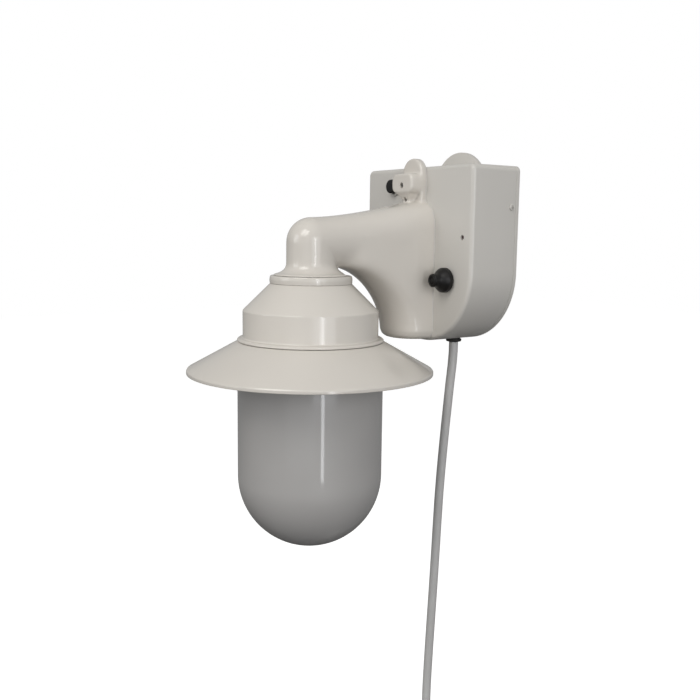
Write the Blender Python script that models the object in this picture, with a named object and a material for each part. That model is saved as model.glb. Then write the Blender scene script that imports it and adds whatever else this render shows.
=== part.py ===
"""An outdoor wall lamp with a switch box, built from its separate parts.

Metres, +Z up. The origin is the centre of the back plate's wall face, and the
lamp reaches out from the wall towards -Y.
"""

from math import asin, cos, pi, radians, sin, sqrt

import bmesh
import bpy
from mathutils import Matrix, Vector

# Driving dimensions -------------------------------------------------------

CLEARANCE = 0.0003  # left between pieces that touch
RUNNING_GAP = 0.0008  # left round pieces that turn or slide

BOX_WIDTH = 0.144
BOX_HEIGHT = 0.148
BOX_DEPTH = 0.0508  # wall to front face
BOX_WALL = 0.0028
BOX_TOP_RADIUS = 0.005
BOX_LOWER_RADIUS = 0.060
BOX_EDGE_RADIUS = 0.0035
PLATE_THICKNESS = 0.003
EAR_RADIUS = 0.034
EAR_RISE = 0.015  # above the top of the box
GASKET_THICKNESS = 0.001
LUG_SIZE = (0.006, 0.009, 0.012)
SIDE_SCREW_HEIGHT = 0.040
SIDE_SCREW_DEPTH = 0.0085
WALL_HOLE_RADIUS = 0.0026
WALL_HOLE_CIRCLE = 0.053  # three holes evenly round a circle
WALL_HOLE_CENTRE = -0.009  # height of that circle's centre

ARM_REACH = 0.1571  # wall to the lamp's own axis
ARM_HEIGHT = 0.010  # of the elbow's centre
PIPE_RADIUS = 0.020
ARM_WALL = 0.003
ARM_RISE = 0.016  # from the elbow's top to the root's
BLEND_TRIM = 0.0004  # keeps the arm's joined shapes from lying on each other
SADDLE_HALF_WIDTH = 0.026
SADDLE_THICKNESS = 0.019
SADDLE_FOOT = -0.072
SWEEP_CENTRE = -0.066  # height of the underside curve's centre
SWEEP_REACH = 0.057
NOSE_LENGTH = 0.024
HOLLOW_FOOT = -0.048
FOOT_RADIUS = 0.0305
FOOT_HEIGHT = -0.0164
TONGUE_RADIUS = 0.0135
TONGUE_THICKNESS = 0.0042
TONGUE_CENTRE = 0.0675
BOSS_HALF_WIDTH = 0.014
BOSS_THICKNESS = 0.0152
BOSS_BOTTOM = 0.0515
BOSS_TOP = 0.068
RIB_DEPTH = 0.0122
RIB_TIP = 0.043
ARM_SCREW_HEIGHT = 0.058
LOCK_SCREW_HEIGHT = 0.0465
ROOT_SCREW_HEIGHT = -0.058
WIRE_HOLE_RADIUS = 0.008

KNOB_X = 0.0423
KNOB_Z = -0.0203
KNOB_RADIUS = 0.0103
KNOB_NOSE_RADIUS = 0.00565
KNOB_LENGTH = 0.0155
SHAFT_RADIUS = 0.003
BUSH_RADIUS = 0.0045
BUSH_LENGTH = 0.0072
DIMMER_SIZE = (0.028, 0.018, 0.024)
NUT_THICKNESS = 0.0018

BUTTON_X = -0.031
BUTTON_Z = 0.0585
BUTTON_RADIUS = 0.006
BUTTON_LENGTH = 0.0052
BUTTON_TRAVEL = 0.002
BUTTON_STEM_RADIUS = 0.0025
BEZEL_RADIUS = 0.0082
SWITCH_LENGTH = 0.015

PILOT_X = 0.0604
PILOT_Z = 0.0152
PILOT_RADIUS = 0.002

COLLAR_RADIUS = 0.0334
COLLAR_HEIGHT = 0.006
NIPPLE_RADIUS = 0.0065
NIPPLE_BORE = 0.005
CANOPY_WALL = 0.002
CANOPY_TOP_RADIUS = 0.033
BAND_RADIUS = 0.0549
BAND_TOP = -0.0445
BAND_BOTTOM = -0.0652
BEAD_STEP = 0.0049  # how far the bead stands out from the band
BEAD_RADIUS = BAND_RADIUS + BEAD_STEP
BEAD_BOTTOM = -0.0690
THREAD_RADIUS = 0.0486  # inside the canopy's threaded collar
THREAD_BOTTOM = -0.0758
SHADE_RADIUS = 0.100
SHADE_RIM = -0.0921
SHADE_WALL = 0.002
SHADE_LIP = 0.003
SHADE_NUT_THICKNESS = 0.003

GLOBE_RADIUS = 0.0593
GLOBE_WALL = 0.003
GLOBE_STRAIGHT_END = -0.180
GLOBE_NECK_TOP = -0.054
GLOBE_DROP = 0.006  # how far the threads carry it
GLOBE_SHOULDER = -0.0784

HOLDER_RADIUS = 0.019
HOLDER_TOP = -0.0252
HOLDER_BOTTOM = -0.062
HOLDER_FLOOR = -0.036
HOLDER_BORE = 0.015
BULB_RADIUS = 0.030
BULB_CAP_RADIUS = 0.013
BULB_BOTTOM = -0.148

CORD_DIAMETER = 0.008
CORD_EXIT_X = 0.016
CORD_EXIT_Y = -0.018
GROMMET_FLANGE = 0.007
GROMMET_THICKNESS = 0.0023
CORD_ROUTE = (
    (0.0160, -0.0180, -0.0772),
    (0.0160, -0.0180, -0.0860),
    (0.0153, -0.0183, -0.0980),
    (0.0138, -0.0190, -0.1150),
    (0.0123, -0.0197, -0.1350),
    (0.0106, -0.0205, -0.1580),
    (0.0091, -0.0216, -0.1850),
    (0.0079, -0.0228, -0.2150),
    (0.0071, -0.0236, -0.2450),
    (0.0064, -0.0243, -0.2750),
    (0.0053, -0.0250, -0.3100),
    (0.0039, -0.0256, -0.3450),
    (0.0024, -0.0260, -0.3800),
    (0.0012, -0.0261, -0.4100),
    (0.0010, -0.0261, -0.4397),
    (0.0020, -0.0261, -0.4490),
    (0.0040, -0.0261, -0.4558),
    (0.0070, -0.0261, -0.4622),
)
COIL_CENTRE = (0.001, -0.022, -0.520)
COIL_INNER = 0.040  # radius of the inner layer's centreline
COIL_OUTER = 0.0471
COIL_PITCH = 0.0082  # between turns that lie side by side
TIE_ANGLE = 62  # degrees clockwise from the top
TIE_WIDTH = 0.006
TIE_THICKNESS = 0.0012
TAIL_TOP = -0.5585
TAIL_BOTTOM = -0.567
PLUG_RELIEF = 0.024
PLUG_BODY = 0.032
BLADE_SIZE = (0.0015, 0.0064, 0.0175)
BLADE_SPACING = 0.0127

ROUND_STEPS = 20
SHADE_STEPS = 32
SMALL_STEPS = 10

UP = Vector((0, 0, 1))
DOWN = Vector((0, 0, -1))
OUT = Vector((0, -1, 0))  # away from the wall
TO_WALL = Vector((0, 1, 0))


# Materials ----------------------------------------------------------------


def linear(value):
    """One sRGB channel, 0 to 255, as the linear value that a shader takes."""
    share = value / 255
    return share / 12.92 if share <= 0.04045 else ((share + 0.055) / 1.055) ** 2.4


def finish(name, colour, roughness, metallic=0.0):
    """A Principled material from an sRGB hex colour."""
    material = bpy.data.materials.new(name)
    material.use_nodes = True
    channels = [linear(int(colour[i : i + 2], 16)) for i in (1, 3, 5)]
    shader = material.node_tree.nodes["Principled BSDF"]
    shader.inputs["Base Color"].default_value = (*channels, 1)
    shader.inputs["Roughness"].default_value = roughness
    shader.inputs["Metallic"].default_value = metallic
    material.diffuse_color = (*channels, 1)
    return material


def clear_scene():
    for obj in list(bpy.data.objects):
        bpy.data.objects.remove(obj, do_unlink=True)


# Shape helpers ------------------------------------------------------------


def place_mesh(name, bm, material, matrix=None):
    """Turns a bmesh into an object, smooth except along its sharp edges."""
    bmesh.ops.recalc_face_normals(bm, faces=bm.faces)
    mesh = bpy.data.meshes.new(name)
    bm.to_mesh(mesh)
    bm.free()
    mesh.shade_smooth()
    mesh.set_sharp_from_angle(angle=radians(35))
    obj = bpy.data.objects.new(name, mesh)
    if matrix is not None:
        obj.matrix_world = matrix
    if material is not None:
        mesh.materials.append(material)
    bpy.context.scene.collection.objects.link(obj)
    return obj


def facing(at, axis):
    """The matrix that puts a local +Z along an axis, at a point."""
    return Matrix.Translation(at) @ Vector(axis).to_track_quat("Z", "Y").to_matrix().to_4x4()


def arc(centre, radius, start, end, steps):
    """Points on an arc, in degrees anticlockwise, both ends included."""
    angles = [radians(start + (end - start) * i / steps) for i in range(steps + 1)]
    return [(centre[0] + radius * cos(a), centre[1] + radius * sin(a)) for a in angles]


def turned(name, profile, material, at=(0, 0, 0), axis=UP, steps=ROUND_STEPS):
    """A (radius, height) outline turned about an axis. One that starts and ends on the axis stays open."""
    bm = bmesh.new()
    points = [bm.verts.new((radius, 0, height)) for radius, height in profile]
    pairs = list(zip(points, points[1:]))
    if profile[0][0] > 0:
        pairs.append((points[-1], points[0]))
    edges = [bm.edges.new(pair) for pair in pairs]
    bmesh.ops.spin(
        bm, geom=points + edges, axis=UP, cent=(0, 0, 0), angle=2 * pi, steps=steps, use_merge=True
    )
    bmesh.ops.remove_doubles(bm, verts=bm.verts, dist=1e-6)
    return place_mesh(name, bm, material, facing(at, axis))


def ring(name, inner, outer, low, high, material, at=(0, 0, 0), axis=UP, steps=ROUND_STEPS):
    profile = [(inner, low), (outer, low), (outer, high), (inner, high)]
    return turned(name, profile, material, at, axis, steps)


def rod(name, radius, low, high, material, at=(0, 0, 0), axis=UP, steps=SMALL_STEPS):
    profile = [(0, low), (radius, low), (radius, high), (0, high)]
    return turned(name, profile, material, at, axis, steps)


def hex_nut(name, bore, across, low, high, material, at, axis):
    nut = rod(name, across / sqrt(3), low, high, material, at, axis, 6)
    return cut(nut, rod(f"{name}_bore", bore, low - 0.002, high + 0.002, None, at, axis, 18))


def prism(name, outline, front, back, material, edge_radius=0.0):
    """An (x, z) outline carried along Y, with its front edge rounded when a radius is given."""
    bm = bmesh.new()
    rim = [bm.verts.new((x, back, z)) for x, z in outline]
    face = bm.faces.new(rim)
    grown = bmesh.ops.extrude_face_region(bm, geom=[face])
    moved = [item for item in grown["geom"] if isinstance(item, bmesh.types.BMVert)]
    bmesh.ops.translate(bm, verts=moved, vec=(0, front - back, 0))
    if edge_radius:
        front_edges = [e for e in bm.edges if all(abs(v.co.y - front) < 1e-7 for v in e.verts)]
        bmesh.ops.bevel(
            bm, geom=front_edges, offset=edge_radius, segments=3, profile=0.5, affect="EDGES"
        )
    bmesh.ops.remove_doubles(bm, verts=bm.verts, dist=1e-6)
    return place_mesh(name, bm, material)


def block(name, low, high, material, edge_radius=0.0):
    """A box between two corners, with rounded edges when a radius is given."""
    bm = bmesh.new()
    middle = [(a + b) / 2 for a, b in zip(low, high)]
    size = [b - a for a, b in zip(low, high)]
    shape = Matrix.Translation(middle) @ Matrix.Diagonal((*size, 1))
    bmesh.ops.create_cube(bm, size=1, matrix=shape)
    if edge_radius:
        bmesh.ops.bevel(bm, geom=bm.edges, offset=edge_radius, segments=2, profile=0.5, affect="EDGES")
    return place_mesh(name, bm, material)


def smooth_route(points, spacing):
    """Points along a Catmull-Rom curve through the given ones, about a spacing apart."""
    knots = [Vector(p) for p in points]
    knots = [2 * knots[0] - knots[1], *knots, 2 * knots[-1] - knots[-2]]
    route = [knots[1]]
    for before, start, end, after in zip(knots, knots[1:], knots[2:], knots[3:]):
        steps = max(1, round((end - start).length / spacing))
        for step in range(1, steps + 1):
            t = step / steps
            route.append(
                0.5
                * (
                    2 * start
                    + (end - before) * t
                    + (2 * before - 5 * start + 4 * end - after) * t**2
                    + (3 * start - before - 3 * end + after) * t**3
                )
            )
    return route


def tube(name, points, diameter, material, resolution=2):
    """A round tube along points, with flat ends."""
    curve = bpy.data.curves.new(name, "CURVE")
    curve.dimensions = "3D"
    curve.bevel_depth = diameter / 2
    curve.bevel_resolution = resolution
    curve.use_fill_caps = True
    spline = curve.splines.new("POLY")
    spline.points.add(len(points) - 1)
    for target, point in zip(spline.points, points):
        target.co = (*point, 1)
    curve.materials.append(material)
    obj = bpy.data.objects.new(name, curve)
    bpy.context.scene.collection.objects.link(obj)
    return obj


def combine(target, others, operation):
    """Cuts helpers from a body or joins them to it, and keeps the helpers out of the render."""
    for other in others:
        other.hide_render = True
        other.display_type = "WIRE"
        modifier = target.modifiers.new(f"{operation.title()} {other.name}", "BOOLEAN")
        modifier.operation = operation
        modifier.solver = "EXACT"
        modifier.object = other
    return target


def cut(target, *cutters):
    return combine(target, cutters, "DIFFERENCE")


def join(target, *others):
    return combine(target, others, "UNION")


def screw(name, at, axis, head_radius, shank_radius, length, material):
    """A pan-head screw. The point is the middle of its seat, and the axis leaves through its head."""
    head_height = head_radius * 0.6
    profile = [
        (0, -length),
        (shank_radius * 0.5, -length),
        (shank_radius, -length + shank_radius),
        (shank_radius, 0),
        (head_radius, 0),
        (head_radius, head_height * 0.4),
        (head_radius * 0.72, head_height * 0.85),
        (0, head_height),
    ]
    return turned(name, profile, material, at, axis, SMALL_STEPS)


# The wall box -------------------------------------------------------------


def box_outline(inset=0.0, top_edge=()):
    """The box's outline: small upper corners and large lower ones."""
    half = BOX_WIDTH / 2 - inset
    top = BOX_HEIGHT / 2 - inset
    low_radius = BOX_LOWER_RADIUS - inset
    top_radius = max(BOX_TOP_RADIUS - inset, 0.001)
    return [
        *arc((low_radius - half, low_radius - top), low_radius, 180, 270, 10),
        *arc((half - low_radius, low_radius - top), low_radius, 270, 360, 10),
        *arc((half - top_radius, top - top_radius), top_radius, 0, 90, 3),
        *top_edge,
        *arc((top_radius - half, top - top_radius), top_radius, 90, 180, 3),
    ]


def shell_back():
    """The Y of the shell's open rim, in front of the plate and its gasket."""
    return -(PLATE_THICKNESS + GASKET_THICKNESS + 2 * CLEARANCE)


def side_lug(name, side):
    """The block on the plate that a side screw bites into."""
    width, depth, height = LUG_SIZE
    outer = BOX_WIDTH / 2 - BOX_WALL - CLEARANCE
    ends = sorted((side * outer, side * (outer - width)))
    back = -PLATE_THICKNESS / 2
    low = (ends[0], -PLATE_THICKNESS - depth, SIDE_SCREW_HEIGHT - height / 2)
    high = (ends[1], back, SIDE_SCREW_HEIGHT + height / 2)
    return block(name, low, high, None)


def make_back_plate(material):
    top = BOX_HEIGHT / 2
    centre = top + EAR_RISE - EAR_RADIUS
    reach = 90 - asin((top - centre) / EAR_RADIUS) * 180 / pi
    ear = arc((0, centre), EAR_RADIUS, 90 - reach, 90 + reach, 10)
    plate = prism("back_plate", box_outline(0, ear), -PLATE_THICKNESS, 0, material)
    join(plate, side_lug("left_lug", -1), side_lug("right_lug", 1))
    for index, angle in enumerate((30, 150, 270)):
        x = WALL_HOLE_CIRCLE * cos(radians(angle))
        place = (x, 0, WALL_HOLE_CENTRE + WALL_HOLE_CIRCLE * sin(radians(angle)))
        cut(plate, rod(f"wall_hole_{index}", WALL_HOLE_RADIUS, -0.01, 0.01, None, place, OUT, 20))
    for side in (-1, 1):
        place = (side * BOX_WIDTH / 2, -SIDE_SCREW_DEPTH, SIDE_SCREW_HEIGHT)
        cut(plate, rod(f"lug_hole_{side}", 0.0018, -0.02, 0.01, None, place, (side, 0, 0)))
    return plate


def make_box_gasket(material):
    front = shell_back() + CLEARANCE
    back = -PLATE_THICKNESS - CLEARANCE
    gasket = prism("box_gasket", box_outline(CLEARANCE), front, back, material)
    inner = box_outline(BOX_WALL - CLEARANCE)
    return cut(gasket, prism("gasket_opening", inner, front - 0.01, back + 0.002, None))


def make_wall_box(material):
    shell = prism("wall_box", box_outline(), -BOX_DEPTH, shell_back(), material, BOX_EDGE_RADIUS)
    inside = prism("box_inside", box_outline(BOX_WALL), BOX_WALL - BOX_DEPTH, 0.01, None)
    front = -BOX_DEPTH
    holes = (
        ("arm_wires", 0, ARM_HEIGHT, WIRE_HOLE_RADIUS),
        ("arm_screw", 0, ARM_SCREW_HEIGHT, 0.0022),
        ("root_screw", 0, ROOT_SCREW_HEIGHT, 0.0022),
        ("dimmer_bush", KNOB_X, KNOB_Z, BUSH_RADIUS + CLEARANCE),
        ("button", BUTTON_X, BUTTON_Z, BUTTON_RADIUS + RUNNING_GAP / 2),
        ("pilot", PILOT_X, PILOT_Z, PILOT_RADIUS),
    )
    cutters = [
        rod(f"{name}_hole", radius, -0.01, 0.01, None, (x, front, z), OUT, ROUND_STEPS)
        for name, x, z, radius in holes
    ]
    for side in (-1, 1):
        place = (side * BOX_WIDTH / 2, -SIDE_SCREW_DEPTH, SIDE_SCREW_HEIGHT)
        cutters.append(rod(f"side_hole_{side}", 0.0018, -0.006, 0.005, None, place, (side, 0, 0)))
    cord_place = (CORD_EXIT_X, CORD_EXIT_Y, -BOX_HEIGHT / 2)
    cutters.append(rod("cord_hole", grommet_neck() + CLEARANCE, -0.01, 0.01, None, cord_place, UP, 20))
    return cut(shell, inside, *cutters)


def make_side_screws(material):
    for name, side in (("side_screw_left", -1), ("side_screw_right", 1)):
        seat = side * (BOX_WIDTH / 2 + CLEARANCE)
        place = (seat, -SIDE_SCREW_DEPTH, SIDE_SCREW_HEIGHT)
        screw(name, place, (side, 0, 0), 0.0025, 0.0015, 0.0085, material)


# The arm ------------------------------------------------------------------


def arm_back():
    """The Y of the arm's back face, in front of the box and its gasket."""
    return -(BOX_DEPTH + GASKET_THICKNESS + 2 * CLEARANCE)


def beam_top(y):
    """Height of the arm's upper line: level at the elbow, rising to the root."""
    span = ARM_REACH - BOX_DEPTH
    share = max(0.0, (ARM_REACH + y) / span)
    return ARM_HEIGHT + PIPE_RADIUS + ARM_RISE * share**1.5


def flank(y):
    """Half the arm's width: the saddle's, then tapering to the pipe's."""
    start = BOX_DEPTH + SADDLE_THICKNESS
    end = ARM_REACH - PIPE_RADIUS
    share = min(1.0, max(0.0, (-y - start) / (end - start)))
    return SADDLE_HALF_WIDTH + (PIPE_RADIUS - SADDLE_HALF_WIDTH) * share


def underside_reach(z):
    """How far from the wall the arm's underside lies at a height."""
    full = ARM_REACH - PIPE_RADIUS
    rise = ARM_HEIGHT - PIPE_RADIUS - SWEEP_CENTRE
    share = min(1.0, max(0.0, (z - SWEEP_CENTRE) / rise))
    return full - SWEEP_REACH * (1 - share**1.8) ** (1 / 1.8)


def beam(name, inset, back, material):
    """The upper part of the arm, lofted from the root to inside the elbow."""
    bm = bmesh.new()
    loops = []
    end = ARM_REACH
    for share in (0, 0.12, 0.24, 0.38, 0.52, 0.66, 0.8, 0.9, 1):
        y = back + (-end - back) * share
        trim = inset + BLEND_TRIM * share
        top = beam_top(y) - trim
        low = ARM_HEIGHT - PIPE_RADIUS + trim
        half = flank(y) - trim
        power = 2.0 + 0.8 * (1 - share)
        middle = (top + low) / 2
        loop = []
        for step in range(ROUND_STEPS):
            angle = 2 * pi * step / ROUND_STEPS
            x = abs(cos(angle)) ** (2 / power) * half
            z = abs(sin(angle)) ** (2 / power) * (top - low) / 2
            x = x if cos(angle) >= 0 else -x
            z = z if sin(angle) >= 0 else -z
            loop.append(bm.verts.new((x, y, middle + z)))
        loops.append(loop)
    bridge(bm, loops)
    return place_mesh(name, bm, material)


def bridge(bm, loops):
    """Joins closed loops of equal length in order, and fills the two ends."""
    for first, second in zip(loops, loops[1:]):
        for i in range(len(first)):
            j = (i + 1) % len(first)
            bm.faces.new((first[i], first[j], second[j], second[i]))
    bm.faces.new(loops[0])
    bm.faces.new(loops[-1])
    bmesh.ops.triangulate(bm, faces=bm.faces)


def console_slice(z, inset, back, nose_steps=8):
    """The plan outline of the arm's lower part at a height: straight flanks and a round nose."""
    reach = underside_reach(z) - inset
    nose_start = reach - (NOSE_LENGTH - inset)
    half = flank(-nose_start) - inset
    root = SADDLE_HALF_WIDTH - inset
    corner = -min(BOX_DEPTH + SADDLE_THICKNESS, nose_start)
    right = [(root, back), (root, corner + 0.0001)]
    nose = [
        (half * cos(radians(a)), -nose_start - (NOSE_LENGTH - inset) * sin(radians(a)))
        for a in [180 * i / nose_steps for i in range(nose_steps + 1)]
    ]
    left = [(-root, corner + 0.0001), (-root, back)]
    return right + nose + left


def console(name, inset, back, foot, material):
    """The lower part of the arm: plan slices from its rounded foot up into the beam."""
    bm = bmesh.new()
    round_off = 0.007
    heights = [(foot, 1.0), (foot + 0.1 * round_off, 0.56), (foot + 0.4 * round_off, 0.2)]
    heights += [(foot + round_off, 0.0)]
    heights += [(z, 0.0) for z in (-0.056, -0.046, -0.037, -0.029, -0.022, -0.016, -0.0115)]
    heights += [(-0.0102, 0.0), (0.016, 0.0)]
    loops = []
    for z, share in heights:
        if z < foot + round_off and share == 0.0:
            continue
        outline = console_slice(z, inset + BLEND_TRIM + share * round_off, back)
        loops.append([bm.verts.new((x, y, z)) for x, y in outline])
    bridge(bm, loops)
    return place_mesh(name, bm, material)


def pipe_profile(inset):
    """The elbow's round corner, the pipe below it and the flared foot."""
    radius = PIPE_RADIUS - inset
    corner = [
        (radius * sin(radians(a)), ARM_HEIGHT + radius * cos(radians(a)))
        for a in (0, 15, 30, 45, 60, 75, 90)
    ]
    if inset:
        floor = FOOT_HEIGHT + ARM_WALL
        bore = NIPPLE_RADIUS + CLEARANCE
        return corner + [(radius, floor), (bore, floor), (bore, FOOT_HEIGHT - 0.002), (0, FOOT_HEIGHT - 0.002)]
    flare = [
        (radius, FOOT_HEIGHT + 0.0095),
        (radius + 0.0010, FOOT_HEIGHT + 0.0060),
        (radius + 0.0042, FOOT_HEIGHT + 0.0028),
        (FOOT_RADIUS - 0.0010, FOOT_HEIGHT + 0.0010),
        (FOOT_RADIUS, FOOT_HEIGHT),
        (0, FOOT_HEIGHT),
    ]
    return corner + flare


def make_lamp_arm(material):
    back = arm_back()
    head = (0, -ARM_REACH, 0)
    arm = beam("lamp_arm", 0, back, material)
    front = back - BOSS_THICKNESS
    tongue_outline = [
        (-TONGUE_RADIUS, 0.020),
        (TONGUE_RADIUS, 0.020),
        *arc((0, TONGUE_CENTRE), TONGUE_RADIUS, 0, 180, 12),
    ]
    corner = 0.005
    boss_outline = [
        *arc((corner - BOSS_HALF_WIDTH, BOSS_BOTTOM + corner), corner, 180, 270, 4),
        *arc((BOSS_HALF_WIDTH - corner, BOSS_BOTTOM + corner), corner, 270, 360, 4),
        *arc((BOSS_HALF_WIDTH - 0.003, BOSS_TOP - 0.003), 0.003, 0, 90, 3),
        *arc((0.003 - BOSS_HALF_WIDTH, BOSS_TOP - 0.003), 0.003, 90, 180, 3),
    ]
    rib_outline = [
        (-0.003, RIB_TIP - 0.010),
        (0.003, RIB_TIP - 0.010),
        (0.003, RIB_TIP),
        (0.0095, BOSS_BOTTOM + 0.003),
        (-0.0095, BOSS_BOTTOM + 0.003),
        (-0.003, RIB_TIP),
    ]
    join(
        arm,
        console("arm_console", 0, back, SADDLE_FOOT, None),
        turned("arm_pipe", pipe_profile(0), None, head),
        prism("arm_tongue", tongue_outline, back - TONGUE_THICKNESS, back - BLEND_TRIM, None),
        prism("arm_boss", boss_outline, front, back - 0.0012, None, 0.0012),
        prism("arm_rib", rib_outline, back - RIB_DEPTH, back - 0.0020, None),
    )
    open_back = back + 0.002
    root = (0, back, 0)
    return cut(
        arm,
        beam("beam_hollow", ARM_WALL, open_back, None),
        console("console_hollow", ARM_WALL, open_back, HOLLOW_FOOT, None),
        turned("pipe_hollow", pipe_profile(ARM_WALL), None, head),
        rod("boss_bore", 0.0022, -0.01, 0.04, None, (root[0], root[1], ARM_SCREW_HEIGHT), OUT),
        rod("boss_recess", 0.0042, BOSS_THICKNESS - 0.0022, 0.03, None, (0, back, ARM_SCREW_HEIGHT), OUT),
        rod("lock_bore", 0.0014, 0.0045, 0.03, None, (0, back, LOCK_SCREW_HEIGHT), OUT),
        rod("root_bore", 0.0020, -0.005, 0.0195, None, (0, back, ROOT_SCREW_HEIGHT), OUT),
    )


def make_arm_gasket(material):
    front = arm_back() + CLEARANCE
    back = -BOX_DEPTH - CLEARANCE
    half = SADDLE_HALF_WIDTH - 0.002
    corner = 0.008
    top, low = 0.034, SADDLE_FOOT + 0.005

    def outline(inset):
        side = half - inset
        radius = corner - inset
        return [
            *arc((radius - side, low + inset + radius), radius, 180, 270, 4),
            *arc((side - radius, low + inset + radius), radius, 270, 360, 4),
            *arc((side - radius, top - inset - radius), radius, 0, 90, 4),
            *arc((radius - side, top - inset - radius), radius, 90, 180, 4),
        ]

    gasket = prism("arm_gasket", outline(0), front, back, material)
    return cut(gasket, prism("arm_gasket_opening", outline(0.0035), front - 0.004, back + 0.004, None))


def make_arm_fixings(material):
    seat = arm_back() - BOSS_THICKNESS + 0.0022
    inner = BOX_WALL - BOX_DEPTH + CLEARANCE
    screw("arm_screw_top", (0, seat - CLEARANCE, ARM_SCREW_HEIGHT), OUT, 0.0034, 0.0017, 0.0215, material)
    place = (0, inner, ARM_SCREW_HEIGHT)
    hex_nut("arm_nut_top", 0.0020, 0.0068, 0, 0.0028, material, place, TO_WALL)
    lock = (0, arm_back() - RIB_DEPTH - CLEARANCE, LOCK_SCREW_HEIGHT)
    screw("arm_screw_lower", lock, OUT, 0.0021, 0.0011, 0.0070, material)
    root = (0, inner, ROOT_SCREW_HEIGHT)
    screw("arm_screw_root", root, TO_WALL, 0.0036, 0.0017, 0.0215, material)


# Controls on the box ------------------------------------------------------


def make_dimmer(plastic, metal, black):
    width, depth, height = DIMMER_SIZE
    front = BOX_WALL - BOX_DEPTH + CLEARANCE
    low = (KNOB_X - width / 2, front, KNOB_Z - height / 2)
    high = (KNOB_X + width / 2, front + depth, KNOB_Z + height / 2)
    face = (KNOB_X, -BOX_DEPTH, KNOB_Z)
    body = block("dimmer_body", low, high, plastic, 0.001)
    join(body, rod("dimmer_bush", BUSH_RADIUS, -0.006, BUSH_LENGTH - BOX_WALL, None, face, OUT, 18))
    bore = SHAFT_RADIUS + CLEARANCE
    cut(body, rod("shaft_bore", bore, -0.014, 0.02, None, face, OUT, 18))
    nut_low = CLEARANCE
    nut = (BUSH_RADIUS + CLEARANCE, 0.013, nut_low, nut_low + NUT_THICKNESS)
    hex_nut("dimmer_nut", *nut, metal, face, OUT)
    knob_base = RUNNING_GAP
    tip = knob_base + KNOB_LENGTH
    shaft_end = tip - 0.004
    rod("dimmer_shaft", SHAFT_RADIUS, -0.0125, shaft_end - CLEARANCE, metal, face, OUT, 18)
    nose = KNOB_NOSE_RADIUS
    hollow = 0.0082
    profile = [
        (SHAFT_RADIUS + CLEARANCE, knob_base + BUSH_LENGTH - BOX_WALL + RUNNING_GAP),
        (hollow, knob_base + BUSH_LENGTH - BOX_WALL),
        (hollow, knob_base),
        (KNOB_RADIUS - 0.0004, knob_base),
        (KNOB_RADIUS, knob_base + 0.0005),
        (KNOB_RADIUS, knob_base + 0.0030),
        (KNOB_RADIUS - 0.0009, knob_base + 0.0044),
        (nose + 0.0022, knob_base + 0.0064),
        (nose + 0.0007, knob_base + 0.0084),
        (nose, knob_base + 0.0110),
        (nose - 0.0002, tip - 0.0016),
        (nose - 0.0012, tip - 0.0004),
        (nose - 0.0030, tip),
        (0, tip),
    ]
    closed = [(0, shaft_end), (SHAFT_RADIUS + CLEARANCE, shaft_end)] + profile
    turned("control_knob", closed, black, face, OUT)


def make_push_button(plastic, rim, black):
    face = (BUTTON_X, -BOX_DEPTH, BUTTON_Z)
    inner = -BOX_WALL - CLEARANCE
    rear = inner - SWITCH_LENGTH
    stem_bore = BUTTON_STEM_RADIUS + CLEARANCE
    base = 0.0009
    stem_end = base - 0.0115
    body = [
        (0, rear),
        (0.0085, rear),
        (0.0085, inner),
        (stem_bore, inner),
        (stem_bore, stem_end - BUTTON_TRAVEL - RUNNING_GAP),
        (0, stem_end - BUTTON_TRAVEL - RUNNING_GAP),
    ]
    turned("button_switch", body, plastic, face, OUT, 18)
    bezel = [
        (BUTTON_RADIUS + RUNNING_GAP / 2, CLEARANCE),
        (BEZEL_RADIUS, CLEARANCE),
        (BEZEL_RADIUS, 0.0013),
        (BEZEL_RADIUS - 0.0007, 0.0021),
        (BUTTON_RADIUS + RUNNING_GAP / 2, 0.0021),
    ]
    turned("button_bezel", bezel, rim, face, OUT)
    top = base + BUTTON_LENGTH
    cap = [
        (0, stem_end),
        (BUTTON_STEM_RADIUS, stem_end),
        (BUTTON_STEM_RADIUS, base),
        (BUTTON_RADIUS, base),
        (BUTTON_RADIUS, top - 0.0012),
        (BUTTON_RADIUS - 0.0005, top - 0.0003),
        (BUTTON_RADIUS - 0.0014, top),
        (0, top),
    ]
    turned("push_button", cap, black, face, OUT, 16)


def make_pilot_lamp(material):
    face = (PILOT_X, -BOX_DEPTH, PILOT_Z)
    inner = -BOX_WALL - CLEARANCE
    lens = PILOT_RADIUS - CLEARANCE
    profile = [
        (0, inner - 0.005),
        (lens + 0.0008, inner - 0.005),
        (lens + 0.0008, inner),
        (lens, inner),
        (lens, -0.0018),
        (lens * 0.7, -0.0010),
        (0, -0.0007),
    ]
    turned("pilot_lamp", profile, material, face, OUT, SMALL_STEPS)


# Wiring inside the box ----------------------------------------------------

TERMINAL_LOW = (-0.052, -0.0215, -0.030)
TERMINAL_HIGH = (-0.014, -PLATE_THICKNESS - CLEARANCE, -0.014)
CLAMP_HALF_WIDTH = 0.013
CLAMP_HEIGHTS = (-0.056, -0.046)
WIRE_DIAMETER = 0.0024
LEAD_TOP = -0.040


def make_terminal_block(plastic, metal):
    body = block("terminal_block", TERMINAL_LOW, TERMINAL_HIGH, plastic, 0.0008)
    middle = (TERMINAL_LOW[2] + TERMINAL_HIGH[2]) / 2
    span = TERMINAL_HIGH[0] - TERMINAL_LOW[0]
    front = TERMINAL_LOW[1]
    for index in range(3):
        x = TERMINAL_LOW[0] + span * (index + 0.5) / 3
        cut(body, rod(f"terminal_bore_{index}", 0.0017, -0.009, 0.01, None, (x, front, middle), OUT))
        place = (x, front - CLEARANCE, middle)
        screw(f"terminal_screw_{index + 1}", place, OUT, 0.0028, 0.0013, 0.007, metal)


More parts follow.
